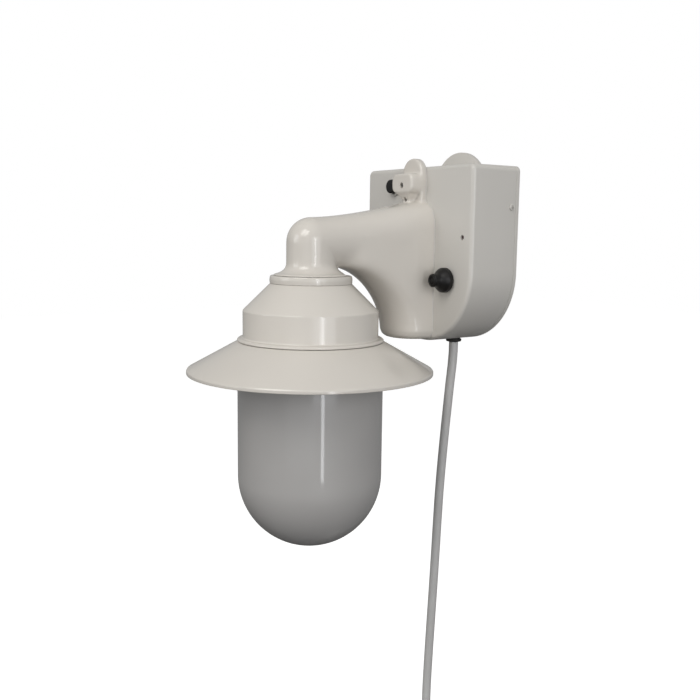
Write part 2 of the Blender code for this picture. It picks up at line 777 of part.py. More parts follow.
def make_cord_clamp(plastic, metal):
    low = (CORD_EXIT_X - CLAMP_HALF_WIDTH, CORD_EXIT_Y - 0.0075, CLAMP_HEIGHTS[0])
    high = (CORD_EXIT_X + CLAMP_HALF_WIDTH, -PLATE_THICKNESS - CLEARANCE, CLAMP_HEIGHTS[1])
    clamp = block("cord_clamp", low, high, plastic, 0.001)
    hole = CORD_DIAMETER / 2 + CLEARANCE
    middle = sum(CLAMP_HEIGHTS) / 2
    cut(clamp, rod("clamp_hole", hole, -0.02, 0.02, None, (CORD_EXIT_X, CORD_EXIT_Y, middle), UP, 16))
    for name, side in (("clamp_screw_left", -1), ("clamp_screw_right", 1)):
        place = (CORD_EXIT_X + side * 0.0088, low[1], middle)
        cut(clamp, rod(f"{name}_bore", 0.0015, -0.018, 0.01, None, place, OUT))
        place = (place[0], low[1] - CLEARANCE, middle)
        screw(name, place, OUT, 0.0026, 0.0012, 0.016, metal)


def make_wires(live, neutral):
    """The cord's two cores to the terminal block, and the two lamp wires through the arm."""
    for name, side, material in (("live", -1, live), ("neutral", 1, neutral)):
        shift = 0.0018 * side
        x = CORD_EXIT_X
        y = CORD_EXIT_Y
        end = TERMINAL_HIGH[0]
        supply = (
            (x + shift, y, LEAD_TOP + CLEARANCE),
            (x + shift, y, LEAD_TOP + 0.008),
            (x - 0.003 + shift, y, LEAD_TOP + 0.0155 + shift),
            (x - 0.014, y, -0.0215 + 1.2 * shift),
            (end + 0.008, y + 0.003, -0.022 + 1.2 * shift),
            (end + 0.0006, y + 0.005, -0.022 + 1.2 * shift),
        )
        tube(f"supply_wire_{name}", smooth_route(supply, 0.005), WIRE_DIAMETER, material)
        lamp = (
            (-0.030 + 2 * shift, -0.014, TERMINAL_HIGH[2] + 0.0006),
            (-0.030 + 2 * shift, -0.015, -0.004),
            (-0.018 + 1.5 * shift, -0.024, ARM_HEIGHT),
            (shift, -0.040, ARM_HEIGHT + 0.001),
            (shift, -0.060, ARM_HEIGHT + 0.001),
            (shift, -0.110, ARM_HEIGHT + 0.001),
            (shift, -ARM_REACH + 0.014, ARM_HEIGHT + 0.001),
            (shift, -ARM_REACH + 0.003, ARM_HEIGHT - 0.006),
            (shift, -ARM_REACH, FOOT_HEIGHT + 0.006),
            (shift, -ARM_REACH, HOLDER_FLOOR + 0.001),
        )
        tube(f"lamp_wire_{name}", smooth_route(lamp, 0.009), WIRE_DIAMETER, material)


# The lamp head ------------------------------------------------------------


def head_place():
    return (0, -ARM_REACH, 0)


def make_head_mounting(metal, plastic):
    head = head_place()
    nipple_top = FOOT_HEIGHT + ARM_WALL + 0.005
    ring("threaded_nipple", NIPPLE_BORE, NIPPLE_RADIUS, HOLDER_TOP - 0.005, nipple_top, metal, head, UP, 18)
    low = FOOT_HEIGHT + ARM_WALL + CLEARANCE
    hex_nut("nipple_nut", NIPPLE_RADIUS + CLEARANCE, 0.018, low, low + 0.0035, metal, head, UP)
    top = FOOT_HEIGHT - CLEARANCE
    bottom = top - COLLAR_HEIGHT + CLEARANCE
    bore = NIPPLE_RADIUS + CLEARANCE
    profile = [
        (bore, bottom),
        (COLLAR_RADIUS - 0.0010, bottom),
        (COLLAR_RADIUS, bottom + 0.0009),
        (COLLAR_RADIUS, top - 0.0017),
        (COLLAR_RADIUS - 0.0006, top - 0.0006),
        (COLLAR_RADIUS - 0.0019, top),
        (bore, top),
    ]
    turned("canopy_collar", profile, plastic, head, UP, 24)


def canopy_top():
    return FOOT_HEIGHT - COLLAR_HEIGHT - 2 * CLEARANCE


def make_canopy(plastic):
    top = canopy_top()
    bore = NIPPLE_RADIUS + CLEARANCE
    band_inner = BAND_RADIUS - CANOPY_WALL
    thread_outer = THREAD_RADIUS + CANOPY_WALL
    cone_inner_top = (CANOPY_TOP_RADIUS - 0.0012, top - CANOPY_WALL)
    cone_inner_low = (band_inner, BAND_TOP - 0.0010)
    share = (thread_outer - cone_inner_top[0]) / (cone_inner_low[0] - cone_inner_top[0])
    thread_root = cone_inner_top[1] + share * (cone_inner_low[1] - cone_inner_top[1])
    inner_share = (THREAD_RADIUS - cone_inner_top[0]) / (cone_inner_low[0] - cone_inner_top[0])
    inner_root = cone_inner_top[1] + inner_share * (cone_inner_low[1] - cone_inner_top[1])
    bead = BEAD_RADIUS - 0.0032
    profile = [
        (bore, top),
        (CANOPY_TOP_RADIUS, top),
        (BAND_RADIUS - 0.0007, BAND_TOP + 0.0006),
        (BAND_RADIUS, BAND_TOP - 0.0008),
        (BAND_RADIUS, BAND_BOTTOM),
        (bead, BAND_BOTTOM - 0.0006),
        (BEAD_RADIUS - 0.0008, BAND_BOTTOM - 0.0014),
        (BEAD_RADIUS, BAND_BOTTOM - 0.0024),
        (BEAD_RADIUS - 0.0006, BEAD_BOTTOM),
        (band_inner, BEAD_BOTTOM),
        cone_inner_low,
        (thread_outer, thread_root),
        (thread_outer, THREAD_BOTTOM),
        (THREAD_RADIUS, THREAD_BOTTOM),
        (THREAD_RADIUS, inner_root),
        cone_inner_top,
        (bore, top - CANOPY_WALL),
    ]
    turned("canopy", profile, plastic, head_place(), UP, SHADE_STEPS)


def shade_top():
    return BEAD_BOTTOM - CLEARANCE


def make_shade(plastic, metal):
    top = shade_top()
    flange_inner = THREAD_RADIUS + CANOPY_WALL + CLEARANCE
    under = top - SHADE_WALL
    rim = SHADE_RIM
    profile = [
        (flange_inner, top),
        (BEAD_RADIUS - 0.0004, top),
        (SHADE_RADIUS - 0.0011, rim + 0.0006),
        (SHADE_RADIUS, rim - 0.0004),
        (SHADE_RADIUS, rim - SHADE_LIP + 0.0010),
        (SHADE_RADIUS - 0.0008, rim - SHADE_LIP),
        (SHADE_RADIUS - 0.0024, rim - SHADE_LIP + 0.0006),
        (SHADE_RADIUS - 0.0028, rim - SHADE_WALL + 0.0006),
        (BEAD_RADIUS - 0.0004, under),
        (flange_inner, under),
    ]
    turned("shade", profile, plastic, head_place(), UP, SHADE_STEPS)
    nut_top = under - CLEARANCE
    nut_outer = BEAD_RADIUS - 0.0040
    nut = (flange_inner, nut_outer, nut_top - SHADE_NUT_THICKNESS, nut_top)
    ring("shade_ring_nut", *nut, metal, head_place(), UP, SHADE_STEPS)


def make_lampholder(porcelain, brass):
    head = head_place()
    bore = NIPPLE_RADIUS + CLEARANCE
    profile = [
        (bore, HOLDER_TOP),
        (0.0115, HOLDER_TOP),
        (0.0130, HOLDER_TOP - 0.003),
        (HOLDER_RADIUS, HOLDER_TOP - 0.0065),
        (HOLDER_RADIUS, HOLDER_BOTTOM + 0.001),
        (HOLDER_RADIUS - 0.001, HOLDER_BOTTOM),
        (HOLDER_BORE, HOLDER_BOTTOM),
        (HOLDER_BORE, HOLDER_FLOOR),
        (NIPPLE_BORE, HOLDER_FLOOR),
        (NIPPLE_BORE, HOLDER_TOP - 0.0056),
        (bore, HOLDER_TOP - 0.0056),
    ]
    turned("lampholder", profile, porcelain, head)
    shell_outer = HOLDER_BORE - CLEARANCE
    shell_inner = BULB_CAP_RADIUS + CLEARANCE
    ring("screw_shell", shell_inner, shell_outer, HOLDER_BOTTOM + 0.0015, HOLDER_FLOOR - 0.0022, brass, head)
    contact_top = HOLDER_FLOOR - CLEARANCE
    rod("centre_contact", 0.0062, contact_top - 0.0012, contact_top, brass, head)


def make_bulb(metal, glass):
    head = head_place()
    cap_top = HOLDER_FLOOR - 0.0020
    seam = HOLDER_BOTTOM - 0.0010
    neck = BULB_CAP_RADIUS - 0.0008
    cap = [
        (0, cap_top),
        (0.0045, cap_top),
        (0.0050, cap_top - 0.0012),
        (0.0110, cap_top - 0.0032),
        (BULB_CAP_RADIUS, cap_top - 0.0050),
        (BULB_CAP_RADIUS, seam),
        (0, seam),
    ]
    turned("bulb_cap", cap, metal, head, UP, 20)
    top = seam - CLEARANCE
    centre = BULB_BOTTOM + BULB_RADIUS
    outer = [(neck, top), (neck, top - 0.006), (neck + 0.0035, top - 0.016), (0.0235, top - 0.030)]
    outer += [
        (BULB_RADIUS * cos(radians(a)), centre + BULB_RADIUS * sin(radians(a)))
        for a in (20, -5, -30, -55, -75)
    ]
    wall = 0.0010
    inner = [(max(r - wall, 0.002), z) for r, z in outer]
    profile = outer + [(0, BULB_BOTTOM), (0, BULB_BOTTOM + wall)] + inner[::-1]
    turned_open("bulb_glass", profile, glass, head, 16)


def turned_open(name, profile, material, at, steps):
    """A turned cup: its outline starts and ends at an open mouth, and touches the axis half way."""
    bm = bmesh.new()
    points = [bm.verts.new((radius, 0, height)) for radius, height in profile]
    pairs = [
        pair
        for pair in zip(points, points[1:] + points[:1])
        if pair[0].co.x > 0 or pair[1].co.x > 0
    ]
    edges = [bm.edges.new(pair) for pair in pairs]
    bmesh.ops.spin(
        bm, geom=points + edges, axis=UP, cent=(0, 0, 0), angle=2 * pi, steps=steps, use_merge=True
    )
    bmesh.ops.remove_doubles(bm, verts=bm.verts, dist=1e-6)
    return place_mesh(name, bm, material, Matrix.Translation(at))


def make_globe(glass, rubber):
    head = head_place()
    neck = THREAD_RADIUS - 0.0006
    shoulder = GLOBE_SHOULDER
    seam = THREAD_BOTTOM - CLEARANCE
    ring("globe_gasket", THREAD_RADIUS, 0.0535, shoulder + CLEARANCE, seam, rubber, head, UP, SHADE_STEPS)
    dome = [
        (GLOBE_RADIUS * cos(radians(a)), GLOBE_STRAIGHT_END - GLOBE_RADIUS * sin(radians(a)))
        for a in (0, 13, 26, 39, 52, 65, 78)
    ]
    outer = [
        (neck, GLOBE_NECK_TOP),
        (neck, shoulder - 0.0003),
        (0.0545, shoulder - 0.0006),
        (GLOBE_RADIUS - 0.0014, shoulder - 0.0036),
        (GLOBE_RADIUS, shoulder - 0.0085),
        *dome,
    ]
    inner_dome = [
        ((GLOBE_RADIUS - GLOBE_WALL) * cos(radians(a)), GLOBE_STRAIGHT_END - (GLOBE_RADIUS - GLOBE_WALL) * sin(radians(a)))
        for a in (78, 65, 52, 39, 26, 13, 0)
    ]
    inner = [
        *inner_dome,
        (GLOBE_RADIUS - GLOBE_WALL, shoulder - 0.0095),
        (neck - GLOBE_WALL, shoulder - 0.0040),
        (neck - GLOBE_WALL, GLOBE_NECK_TOP),
    ]
    bottom = GLOBE_STRAIGHT_END - GLOBE_RADIUS
    profile = outer + [(0, bottom), (0, bottom + GLOBE_WALL)] + inner
    turned_open("globe", profile, glass, head, 28)


# The supply cord ----------------------------------------------------------


def grommet_neck():
    return GROMMET_FLANGE - 0.0014


def make_cord_entry(rubber, sleeve):
    x, y = CORD_EXIT_X, CORD_EXIT_Y
    floor = -BOX_HEIGHT / 2
    bore = CORD_DIAMETER / 2 + CLEARANCE
    top = floor - CLEARANCE
    inner = floor + BOX_WALL + CLEARANCE
    profile = [
        (bore, top - GROMMET_THICKNESS),
        (GROMMET_FLANGE - 0.0008, top - GROMMET_THICKNESS),
        (GROMMET_FLANGE, top - GROMMET_THICKNESS + 0.0008),
        (GROMMET_FLANGE, top),
        (grommet_neck(), top),
        (grommet_neck(), inner + 0.0006),
        (grommet_neck(), inner + 0.0030),
        (bore + 0.0008, inner + 0.0125),
        (bore, inner + 0.0125),
    ]
    turned("cord_grommet", profile, rubber, (x, y, 0), UP, 20)
    low = top - GROMMET_THICKNESS
    rod("cord_lead_in", CORD_DIAMETER / 2, low, LEAD_TOP, sleeve, (x, y, 0), UP, 16)


def make_cord(sleeve, black):
    tube("supply_cord", smooth_route(CORD_ROUTE, 0.016), CORD_DIAMETER, sleeve, 2)
    radius = CORD_DIAMETER / 2 + CLEARANCE
    back = 1.5 * COIL_PITCH + radius
    front = COIL_PITCH + radius
    inner = COIL_INNER - radius
    outer = COIL_OUTER + radius
    chamfer = 0.003
    profile = [
        (inner + chamfer, -back),
        (outer - chamfer, -back),
        (outer, chamfer - back),
        (outer, front - chamfer),
        (outer - chamfer, front),
        (inner + chamfer, front),
        (inner, front - chamfer),
        (inner, chamfer - back),
    ]
    turned("cord_coil", profile, sleeve, COIL_CENTRE, OUT, 24)
    make_cord_tie(black, inner, outer, -back, front)
    x = COIL_CENTRE[0] + COIL_INNER
    y = COIL_CENTRE[1] - 1.5 * COIL_PITCH
    tail = ((x, y, TAIL_TOP), (x, y, (TAIL_TOP + TAIL_BOTTOM) / 2), (x, y, TAIL_BOTTOM))
    tube("cord_tail", [Vector(p) for p in tail], CORD_DIAMETER, sleeve, 2)
    return x, y


def make_cord_tie(black, inner, outer, back, front):
    """A strap round the whole section of the coil."""
    gap = 2 * CLEARANCE
    angle = radians(TIE_ANGLE)
    low = (inner - gap, back - gap)
    high = (outer + gap, front + gap)
    around = Matrix.Translation(COIL_CENTRE) @ Matrix.Rotation(angle, 4, "Y")
    walls = TIE_THICKNESS
    strap = block(
        "cord_tie",
        (-TIE_WIDTH / 2, -high[1] - walls, low[0] - walls),
        (TIE_WIDTH / 2, -low[1] + walls, high[0] + walls),
        black,
    )
    strap.matrix_world = around
    opening = block(
        "tie_opening", (-TIE_WIDTH, -high[1], low[0]), (TIE_WIDTH, -low[1], high[0]), None
    )
    opening.matrix_world = around
    cut(strap, opening)


def make_plug(sleeve, metal, x, y):
    top = TAIL_BOTTOM - CLEARANCE
    body_top = top - PLUG_RELIEF
    face = body_top - PLUG_BODY
    relief = [
        (0, body_top - 0.004),
        (0.0085, body_top - 0.004),
        (0.0078, body_top + 0.004),
        (0.0055, top - 0.004),
        (CORD_DIAMETER / 2 + 0.0006, top),
        (0, top),
    ]
    body = block(
        "plug_body", (x - 0.0145, y - 0.0115, face), (x + 0.0145, y + 0.0115, body_top), sleeve, 0.0032
    )
    join(body, turned("plug_relief", relief, None, (x, y, 0), UP, 18))
    width, depth, length = BLADE_SIZE
    for name, side in (("plug_blade_left", -1), ("plug_blade_right", 1)):
        middle = x + side * BLADE_SPACING / 2
        low = (middle - width / 2, y - 0.0035 - depth / 2, face - length)
        high = (middle + width / 2, y - 0.0035 + depth / 2, face - CLEARANCE)
        block(name, low, high, metal)
    pin = [
        (0, face - length - 0.002),
        (0.0012, face - length - 0.002),
        (0.0023, face - length + 0.0005),
        (0.0023, face - CLEARANCE),
        (0, face - CLEARANCE),
    ]
    turned("plug_earth_pin", pin, metal, (x, y + 0.0060, 0), UP, SMALL_STEPS)


def main():
    clear_scene()
    lamp_plastic = finish("moulded_lamp_plastic", "#c9c4bb", 0.28)
    box_plastic = finish("moulded_box_plastic", "#bdb9b2", 0.34)
    black_plastic = finish("black_phenolic", "#181616", 0.38)
    grey_plastic = finish("grey_nylon", "#8d8a84", 0.55)
    rubber = finish("dark_rubber", "#2b2a29", 0.8)
    steel = finish("zinc_plated_steel", "#8f8e8a", 0.35, 0.9)
    brass = finish("brass", "#b89b55", 0.3, 1.0)
    porcelain = finish("glazed_porcelain", "#e6e2d8", 0.2)
    opal = finish("opal_glass", "#b0ada8", 0.12)
    bulb_glass = finish("frosted_bulb_glass", "#dcdad4", 0.3)
    sleeve = finish("grey_cord_sleeve", "#9a9999", 0.5)
    live = finish("black_wire_sleeve", "#1c1b1a", 0.5)
    neutral = finish("white_wire_sleeve", "#d8d6d0", 0.5)
    amber = finish("dark_red_lens", "#3a1512", 0.25)

    make_back_plate(box_plastic)
    make_box_gasket(rubber)
    make_wall_box(box_plastic)
    make_side_screws(steel)
    make_lamp_arm(lamp_plastic)
    make_arm_gasket(rubber)
    make_arm_fixings(steel)
    make_dimmer(grey_plastic, steel, black_plastic)
    make_push_button(grey_plastic, steel, black_plastic)
    make_pilot_lamp(amber)
    make_terminal_block(porcelain, brass)
    make_cord_clamp(grey_plastic, steel)
    make_wires(live, neutral)
    make_head_mounting(steel, lamp_plastic)
    make_canopy(lamp_plastic)
    make_shade(lamp_plastic, steel)
    make_lampholder(porcelain, brass)
    make_bulb(brass, bulb_glass)
    make_globe(opal, rubber)
    make_cord_entry(sleeve, sleeve)
    x, y = make_cord(sleeve, black_plastic)
    make_plug(sleeve, brass, x, y)


main()
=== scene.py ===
# %% [markdown]
# # An outdoor wall lamp with a switch box
# This lesson dresses a finished CAD model of a wall lamp. The lamp hangs from a
# moulded box on the wall: an arm reaches out, turns down, and carries a bell
# shaped canopy, a conical shade and a glass jar. The box holds a dimmer knob, a
# push button and the supply cord.
#
# The CAD model is a fixed frame. It says where every part is, so each new piece
# takes its place from it, hides the plain solid that it stands for, and rides
# on the same moving body. We work in metres, and write sizes in millimetres
# because that is how such parts are drawn.

# %% Load the frame
from math import asin, cos, degrees, pi, radians, sin, sqrt

import bmesh
import bpy
from mathutils import Matrix, Vector


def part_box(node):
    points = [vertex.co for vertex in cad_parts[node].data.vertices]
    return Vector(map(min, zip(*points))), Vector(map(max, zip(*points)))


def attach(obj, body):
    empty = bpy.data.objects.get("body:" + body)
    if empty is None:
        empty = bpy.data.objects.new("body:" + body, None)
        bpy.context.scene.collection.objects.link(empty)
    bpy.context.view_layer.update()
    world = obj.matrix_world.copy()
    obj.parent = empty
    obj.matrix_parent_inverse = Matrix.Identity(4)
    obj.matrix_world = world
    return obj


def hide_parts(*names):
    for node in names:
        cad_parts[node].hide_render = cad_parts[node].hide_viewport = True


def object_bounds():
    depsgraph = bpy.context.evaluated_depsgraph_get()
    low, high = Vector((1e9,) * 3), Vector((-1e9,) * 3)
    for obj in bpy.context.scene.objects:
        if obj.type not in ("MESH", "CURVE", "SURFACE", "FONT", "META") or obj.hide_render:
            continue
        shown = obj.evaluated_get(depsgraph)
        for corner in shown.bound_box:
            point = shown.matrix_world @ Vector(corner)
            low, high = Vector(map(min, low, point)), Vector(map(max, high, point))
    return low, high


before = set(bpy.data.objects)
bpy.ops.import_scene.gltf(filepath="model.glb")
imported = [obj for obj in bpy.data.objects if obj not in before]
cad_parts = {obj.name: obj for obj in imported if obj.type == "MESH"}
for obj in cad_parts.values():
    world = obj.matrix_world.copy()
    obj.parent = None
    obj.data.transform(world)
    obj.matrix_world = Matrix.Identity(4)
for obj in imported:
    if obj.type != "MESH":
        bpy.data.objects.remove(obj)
cad_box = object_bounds()
MM = 0.001

# %% [markdown]
# ## Places that the frame gives
# Real parts are fitted to each other, so a few boxes of the CAD model settle
# almost every place below: the axis of the lamp is the middle of its globe, and
# the switch box's front face is where the arm's gasket lies.

# %% Read the main places
globe_low, globe_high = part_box("globe")
box_low, box_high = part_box("wall_box")
LAMP_AXIS = Vector((0, (globe_low.y + globe_high.y) / 2, 0))
BOX_FRONT = box_low.y
ARM_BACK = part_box("lamp_arm")[1].y
print("lamp axis", [round(v / MM, 1) for v in LAMP_AXIS])
print(f"box front {BOX_FRONT / MM:.1f} mm, arm back {ARM_BACK / MM:.1f} mm")

# %% [markdown]
# ## Small tools
# Each tool does one thing that is done by hand in edit mode. Everything is
# deselected before a new piece is started, because an operator acts on all that
# is selected, and the loaded CAD parts are.


# %% Start, finish and name a piece
def deselect_all():
    if bpy.context.object and bpy.context.object.mode != "OBJECT":
        bpy.ops.object.mode_set(mode="OBJECT")
    bpy.ops.object.select_all(action="DESELECT")


def edit():
    """Opens the active piece in edit mode with nothing selected, and returns its mesh."""
    bpy.ops.object.mode_set(mode="EDIT")
    bpy.ops.mesh.select_mode(type="VERT")
    bpy.ops.mesh.select_all(action="DESELECT")
    return bmesh.from_edit_mesh(bpy.context.object.data)


MODES = {"verts": "VERT", "edges": "EDGE", "faces": "FACE"}


def pick(test, kind="verts"):
    """Selects the vertices, edges or faces of the mesh in hand that pass a test."""
    mesh = bpy.context.object.data
    bpy.ops.mesh.select_all(action="DESELECT")
    bpy.ops.mesh.select_mode(type=MODES[kind])
    bm = bmesh.from_edit_mesh(mesh)
    found = 0
    for item in getattr(bm, kind):
        chosen = test(item)
        item.select_set(chosen)
        found += chosen
    bm.select_flush_mode()
    bmesh.update_edit_mesh(mesh)
    return found


def done(name):
    """Leaves edit mode, names the piece and settles its place into its mesh."""
    if bpy.context.object.mode != "OBJECT":
        bpy.ops.object.mode_set(mode="OBJECT")
    piece = bpy.context.object
    piece.name = piece.data.name = name
    piece.select_set(True)
    bpy.ops.object.transform_apply(location=True, rotation=True, scale=True)
    return piece


def activate(piece):
    deselect_all()
    piece.select_set(True)
    bpy.context.view_layer.objects.active = piece


def copy_of(piece):
    """A second piece with its own mesh, selected and active."""
    other = piece.copy()
    other.data = piece.data.copy()
    bpy.context.scene.collection.objects.link(other)
    activate(other)
    return other


def smooth(piece, angle=40):
    """Shades a piece smooth, but keeps edges sharper than an angle in degrees."""
    activate(piece)
    bpy.ops.object.shade_smooth_by_angle(angle=radians(angle))


# %% [markdown]
# Some shapes are easier to take away or add than to fold. A boolean does what
# a drill or a weld does, and may leave slivers where two faces almost meet.
# Points a few thousandths of a millimetre apart are merged after each one, so
# that every piece stays closed.


# %% Modify, cut and join
MERGE_WITHIN = 4e-6  # metres


def modify(piece, kind, **settings):
    """Adds a modifier with its settings and applies it."""
    activate(piece)
    modifier = piece.modifiers.new(kind.title(), kind)
    for key, value in settings.items():
        setattr(modifier, key, value)
    bpy.ops.object.modifier_apply(modifier=modifier.name)


def combine(piece, helpers, operation):
    """Applies helper solids to a piece, removes them, and merges points that fall together."""
    for helper in helpers:
        modify(piece, "BOOLEAN", operation=operation, solver="EXACT", object=helper)
        bpy.data.objects.remove(helper)
    activate(piece)
    bpy.ops.object.mode_set(mode="EDIT")
    bpy.ops.mesh.select_all(action="SELECT")
    bpy.ops.mesh.remove_doubles(threshold=MERGE_WITHIN)
    bpy.ops.mesh.dissolve_degenerate(threshold=MERGE_WITHIN)
    bpy.ops.object.mode_set(mode="OBJECT")


def carve(piece, *cutters):
    combine(piece, cutters, "DIFFERENCE")


def unite(piece, *others):
    combine(piece, others, "UNION")


def join(piece, *others):
    """Makes one object of several, with their meshes side by side."""
    activate(piece)
    for other in others:
        other.select_set(True)
    bpy.ops.object.join()
    return piece


# %% [markdown]
# Each new piece gets a finish, rides on the body that carries it, and stands
# for one or more solids of the CAD model.


# %% Dress a piece
def dress(piece, material, body, slot, *nodes):
    piece.data.materials.append(material)
    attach(piece, body)
    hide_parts(*nodes)
    size = f"{len(piece.data.polygons)} faces" if piece.type == "MESH" else "a curve"
    print(f"{piece.name}: {size}, rides on {body}, stands for {', '.join(nodes)}")


# %% [markdown]
# ## Turning round pieces
# Most of the lamp head is round. A moulder would cut the tool for it on a
# lathe, so we do the same: one point is extruded along the outline of half a
# section, and the outline is spun about the axis. Real edges are never sharp,
# so each corner of the outline may carry a radius.


# %% Outlines with rounded corners
def rounded(corners, steps=5):
    """(radius, height) points through corners given as (radius, height, corner radius), in mm."""
    points = []
    for i, corner in enumerate(corners):
        here = Vector(corner[:2])
        wish = corner[2] if len(corner) > 2 else 0
        before = Vector(corners[i - 1][:2]) - here
        after = Vector(corners[(i + 1) % len(corners)][:2]) - here
        if not wish or min(before.length, after.length) < 1e-6:
            points.append(here)
            continue
        half = before.angle(after) / 2
        wanted = wish / max(sin(half) / cos(half), 1e-6)
        reach = min(wanted, before.length * 0.48, after.length * 0.48)
        start = here + before.normalized() * reach
        end = here + after.normalized() * reach
        for step in range(steps + 1):
            t = step / steps
            points.append((1 - t) ** 2 * start + 2 * t * (1 - t) * here + t**2 * end)
    return [(p[0] * MM, p[1] * MM) for p in points]


def bow(centre, radius, start, end, steps):
    """Points on an arc of an outline, in mm and degrees from the outward direction."""
    turns = [radians(start + (end - start) * i / steps) for i in range(steps + 1)]
    return [(centre[0] + radius * cos(a), centre[1] + radius * sin(a)) for a in turns]


# %% Spin an outline
# How a piece that is modelled upright is turned to point another way.
FACING = {
    "up": (0, 0, 0),
    "out": (pi / 2, 0, 0),
    "right": (0, pi / 2, 0),
    "left": (0, -pi / 2, 0),
}


def turn(name, outline, at=(0, 0, 0), pointing="up", sides=96, closed=True):
    """A turned piece. An outline that starts and ends on the axis isn't closed."""
    deselect_all()
    start = (outline[0][0], 0, outline[0][1])
    bpy.ops.mesh.primitive_plane_add(size=1 * MM, location=start)
    bpy.ops.object.transform_apply(location=True)
    bpy.ops.object.mode_set(mode="EDIT")
    bpy.ops.mesh.select_mode(type="VERT")
    bpy.ops.mesh.merge(type="CENTER")
    path = outline[1:] + (outline[:1] if closed else [])
    here = outline[0]
    for radius, height in path:
        step = (radius - here[0], 0, height - here[1])
        bpy.ops.mesh.extrude_region_move(TRANSFORM_OT_translate={"value": step})
        here = (radius, height)
    bpy.ops.mesh.select_all(action="SELECT")
    bpy.ops.mesh.spin(
        steps=sides, angle=2 * pi, center=(0, 0, 0), axis=(0, 0, 1), use_auto_merge=True
    )
    bpy.ops.mesh.select_all(action="SELECT")
    bpy.ops.mesh.remove_doubles(threshold=2e-6)
    bpy.ops.mesh.normals_make_consistent(inside=False)
    bpy.ops.object.mode_set(mode="OBJECT")
    piece = bpy.context.object
    piece.rotation_euler = FACING[pointing]
    piece.location = at
    piece = done(name)
    smooth(piece)
    return piece


# %% [markdown]
# ## Blocks with eased edges
# Boxes, plates and bosses start as a cube of the right size. Chosen edges are
# then rounded by a bevel, large ones first, as a pattern maker would.


# %% Blocks
def brick(low, high):
    """A cube stretched between two corners given in metres, with its place in its mesh."""
    deselect_all()
    middle = [(a + b) / 2 for a, b in zip(low, high)]
    sides = [b - a for a, b in zip(low, high)]
    bpy.ops.mesh.primitive_cube_add(size=1, location=middle, scale=sides)
    bpy.ops.object.transform_apply(location=True, rotation=True, scale=True)
    return bpy.context.object


def drum(at, radius, depth, pointing="out", sides=48):
    """A helper cylinder centred on a point, for a hole or a round end, with its sizes in mm."""
    deselect_all()
    bpy.ops.mesh.primitive_cylinder_add(
        vertices=sides,
        radius=radius * MM,
        depth=depth * MM,
        location=at,
        rotation=FACING[pointing],
    )
    return done("drum")


# %% Round chosen edges
def ease(test, radius, steps=6):
    """Rounds the edges that pass a test by a radius in mm, in edit mode."""
    if pick(test, "edges"):
        bpy.ops.mesh.bevel(offset=radius * MM, segments=steps, profile=0.5, affect="EDGES")


def along(axis, **near):
    """A test for edges that run along an axis at the given places."""

    def test(edge):
        a, b = edge.verts[0].co, edge.verts[1].co
        run = b - a
        straight = abs(run[axis]) > 0.999 * run.length
        return straight and all(
            abs((a + b)["xyz".index(k)] / 2 - v) < 2e-5 for k, v in near.items()
        )

    return test


def flat_on(axis, place):
    """A test for edges that lie in the plane across an axis."""
    return lambda edge: all(abs(v.co[axis] - place) < 1e-6 for v in edge.verts)


def crossing(axis):
    """A test for edges that run more than 1 mm along an axis."""
    return lambda edge: abs(edge.verts[0].co[axis] - edge.verts[1].co[axis]) > 1 * MM


def level(edge):
    """A test for edges that lie at one height."""
    return abs(edge.verts[0].co.z - edge.verts[1].co.z) < 1e-6


# %% [markdown]
# ## The cord's route
# The cord is one piece of three-core cable, about 1.9 m long, as such a lamp
# has. It leaves the box downwards, sways a little as it hangs, and the length
# that isn't needed is wound up and tied. The coil's turns lie in two layers,
# and each turn moves one place over in its own sector, so that no two turns
# meet. The first points are the same as in the CAD model.

# %% Listed points of the hanging stretch
CORD_DIAMETER = 8 * MM
CORD_EXIT = (16.0 * MM, -18.0 * MM, -77.2 * MM)
HANGING = (
    (16.0, -18.0, -77.2), (16.0, -18.0, -86.0), (15.3, -18.3, -98.0), (13.8, -19.0, -115.0),
    (12.3, -19.7, -135.0), (10.6, -20.5, -158.0), (9.1, -21.6, -185.0), (7.9, -22.8, -215.0),
    (7.1, -23.6, -245.0), (6.4, -24.3, -275.0), (5.3, -25.0, -310.0), (3.9, -25.6, -345.0),
    (2.4, -26.0, -380.0), (1.2, -26.1, -410.0), (1.0, -26.1, -439.7),
)
HANGING_SPACING = 9
print(f"hangs from {HANGING[0][2]} to {HANGING[-1][2]} mm, then the coil begins")


# %% A smooth curve through points
def through(points, spacing):
    """Catmull-Rom points through the given ones, about a spacing apart, in mm."""
    knots = [Vector(p) for p in points]
    knots = [2 * knots[0] - knots[1], *knots, 2 * knots[-1] - knots[-2]]
    route = [knots[1]]
    for a, b, c, d in zip(knots, knots[1:], knots[2:], knots[3:]):
        steps = max(1, round((c - b).length / spacing))
        for i in range(1, steps + 1):
            t = i / steps
            route.append(
                0.5 * (2 * b + (c - a) * t + (2 * a - 5 * b + 4 * c - d) * t**2)
                + 0.5 * (3 * b - a - 3 * c + d) * t**3
            )
    return route


def ease_in_out(t):
    """Rises smoothly from 0 to 1 as t does."""
    t = min(1.0, max(0.0, t))
    return t * t * (3 - 2 * t)


# %% [markdown]
# The coil is wound as round a hand. A gentle bend leads into the outer layer,
# the cord works its way across, steps down to the inner layer and comes back,
# and its end drops straight to the plug.

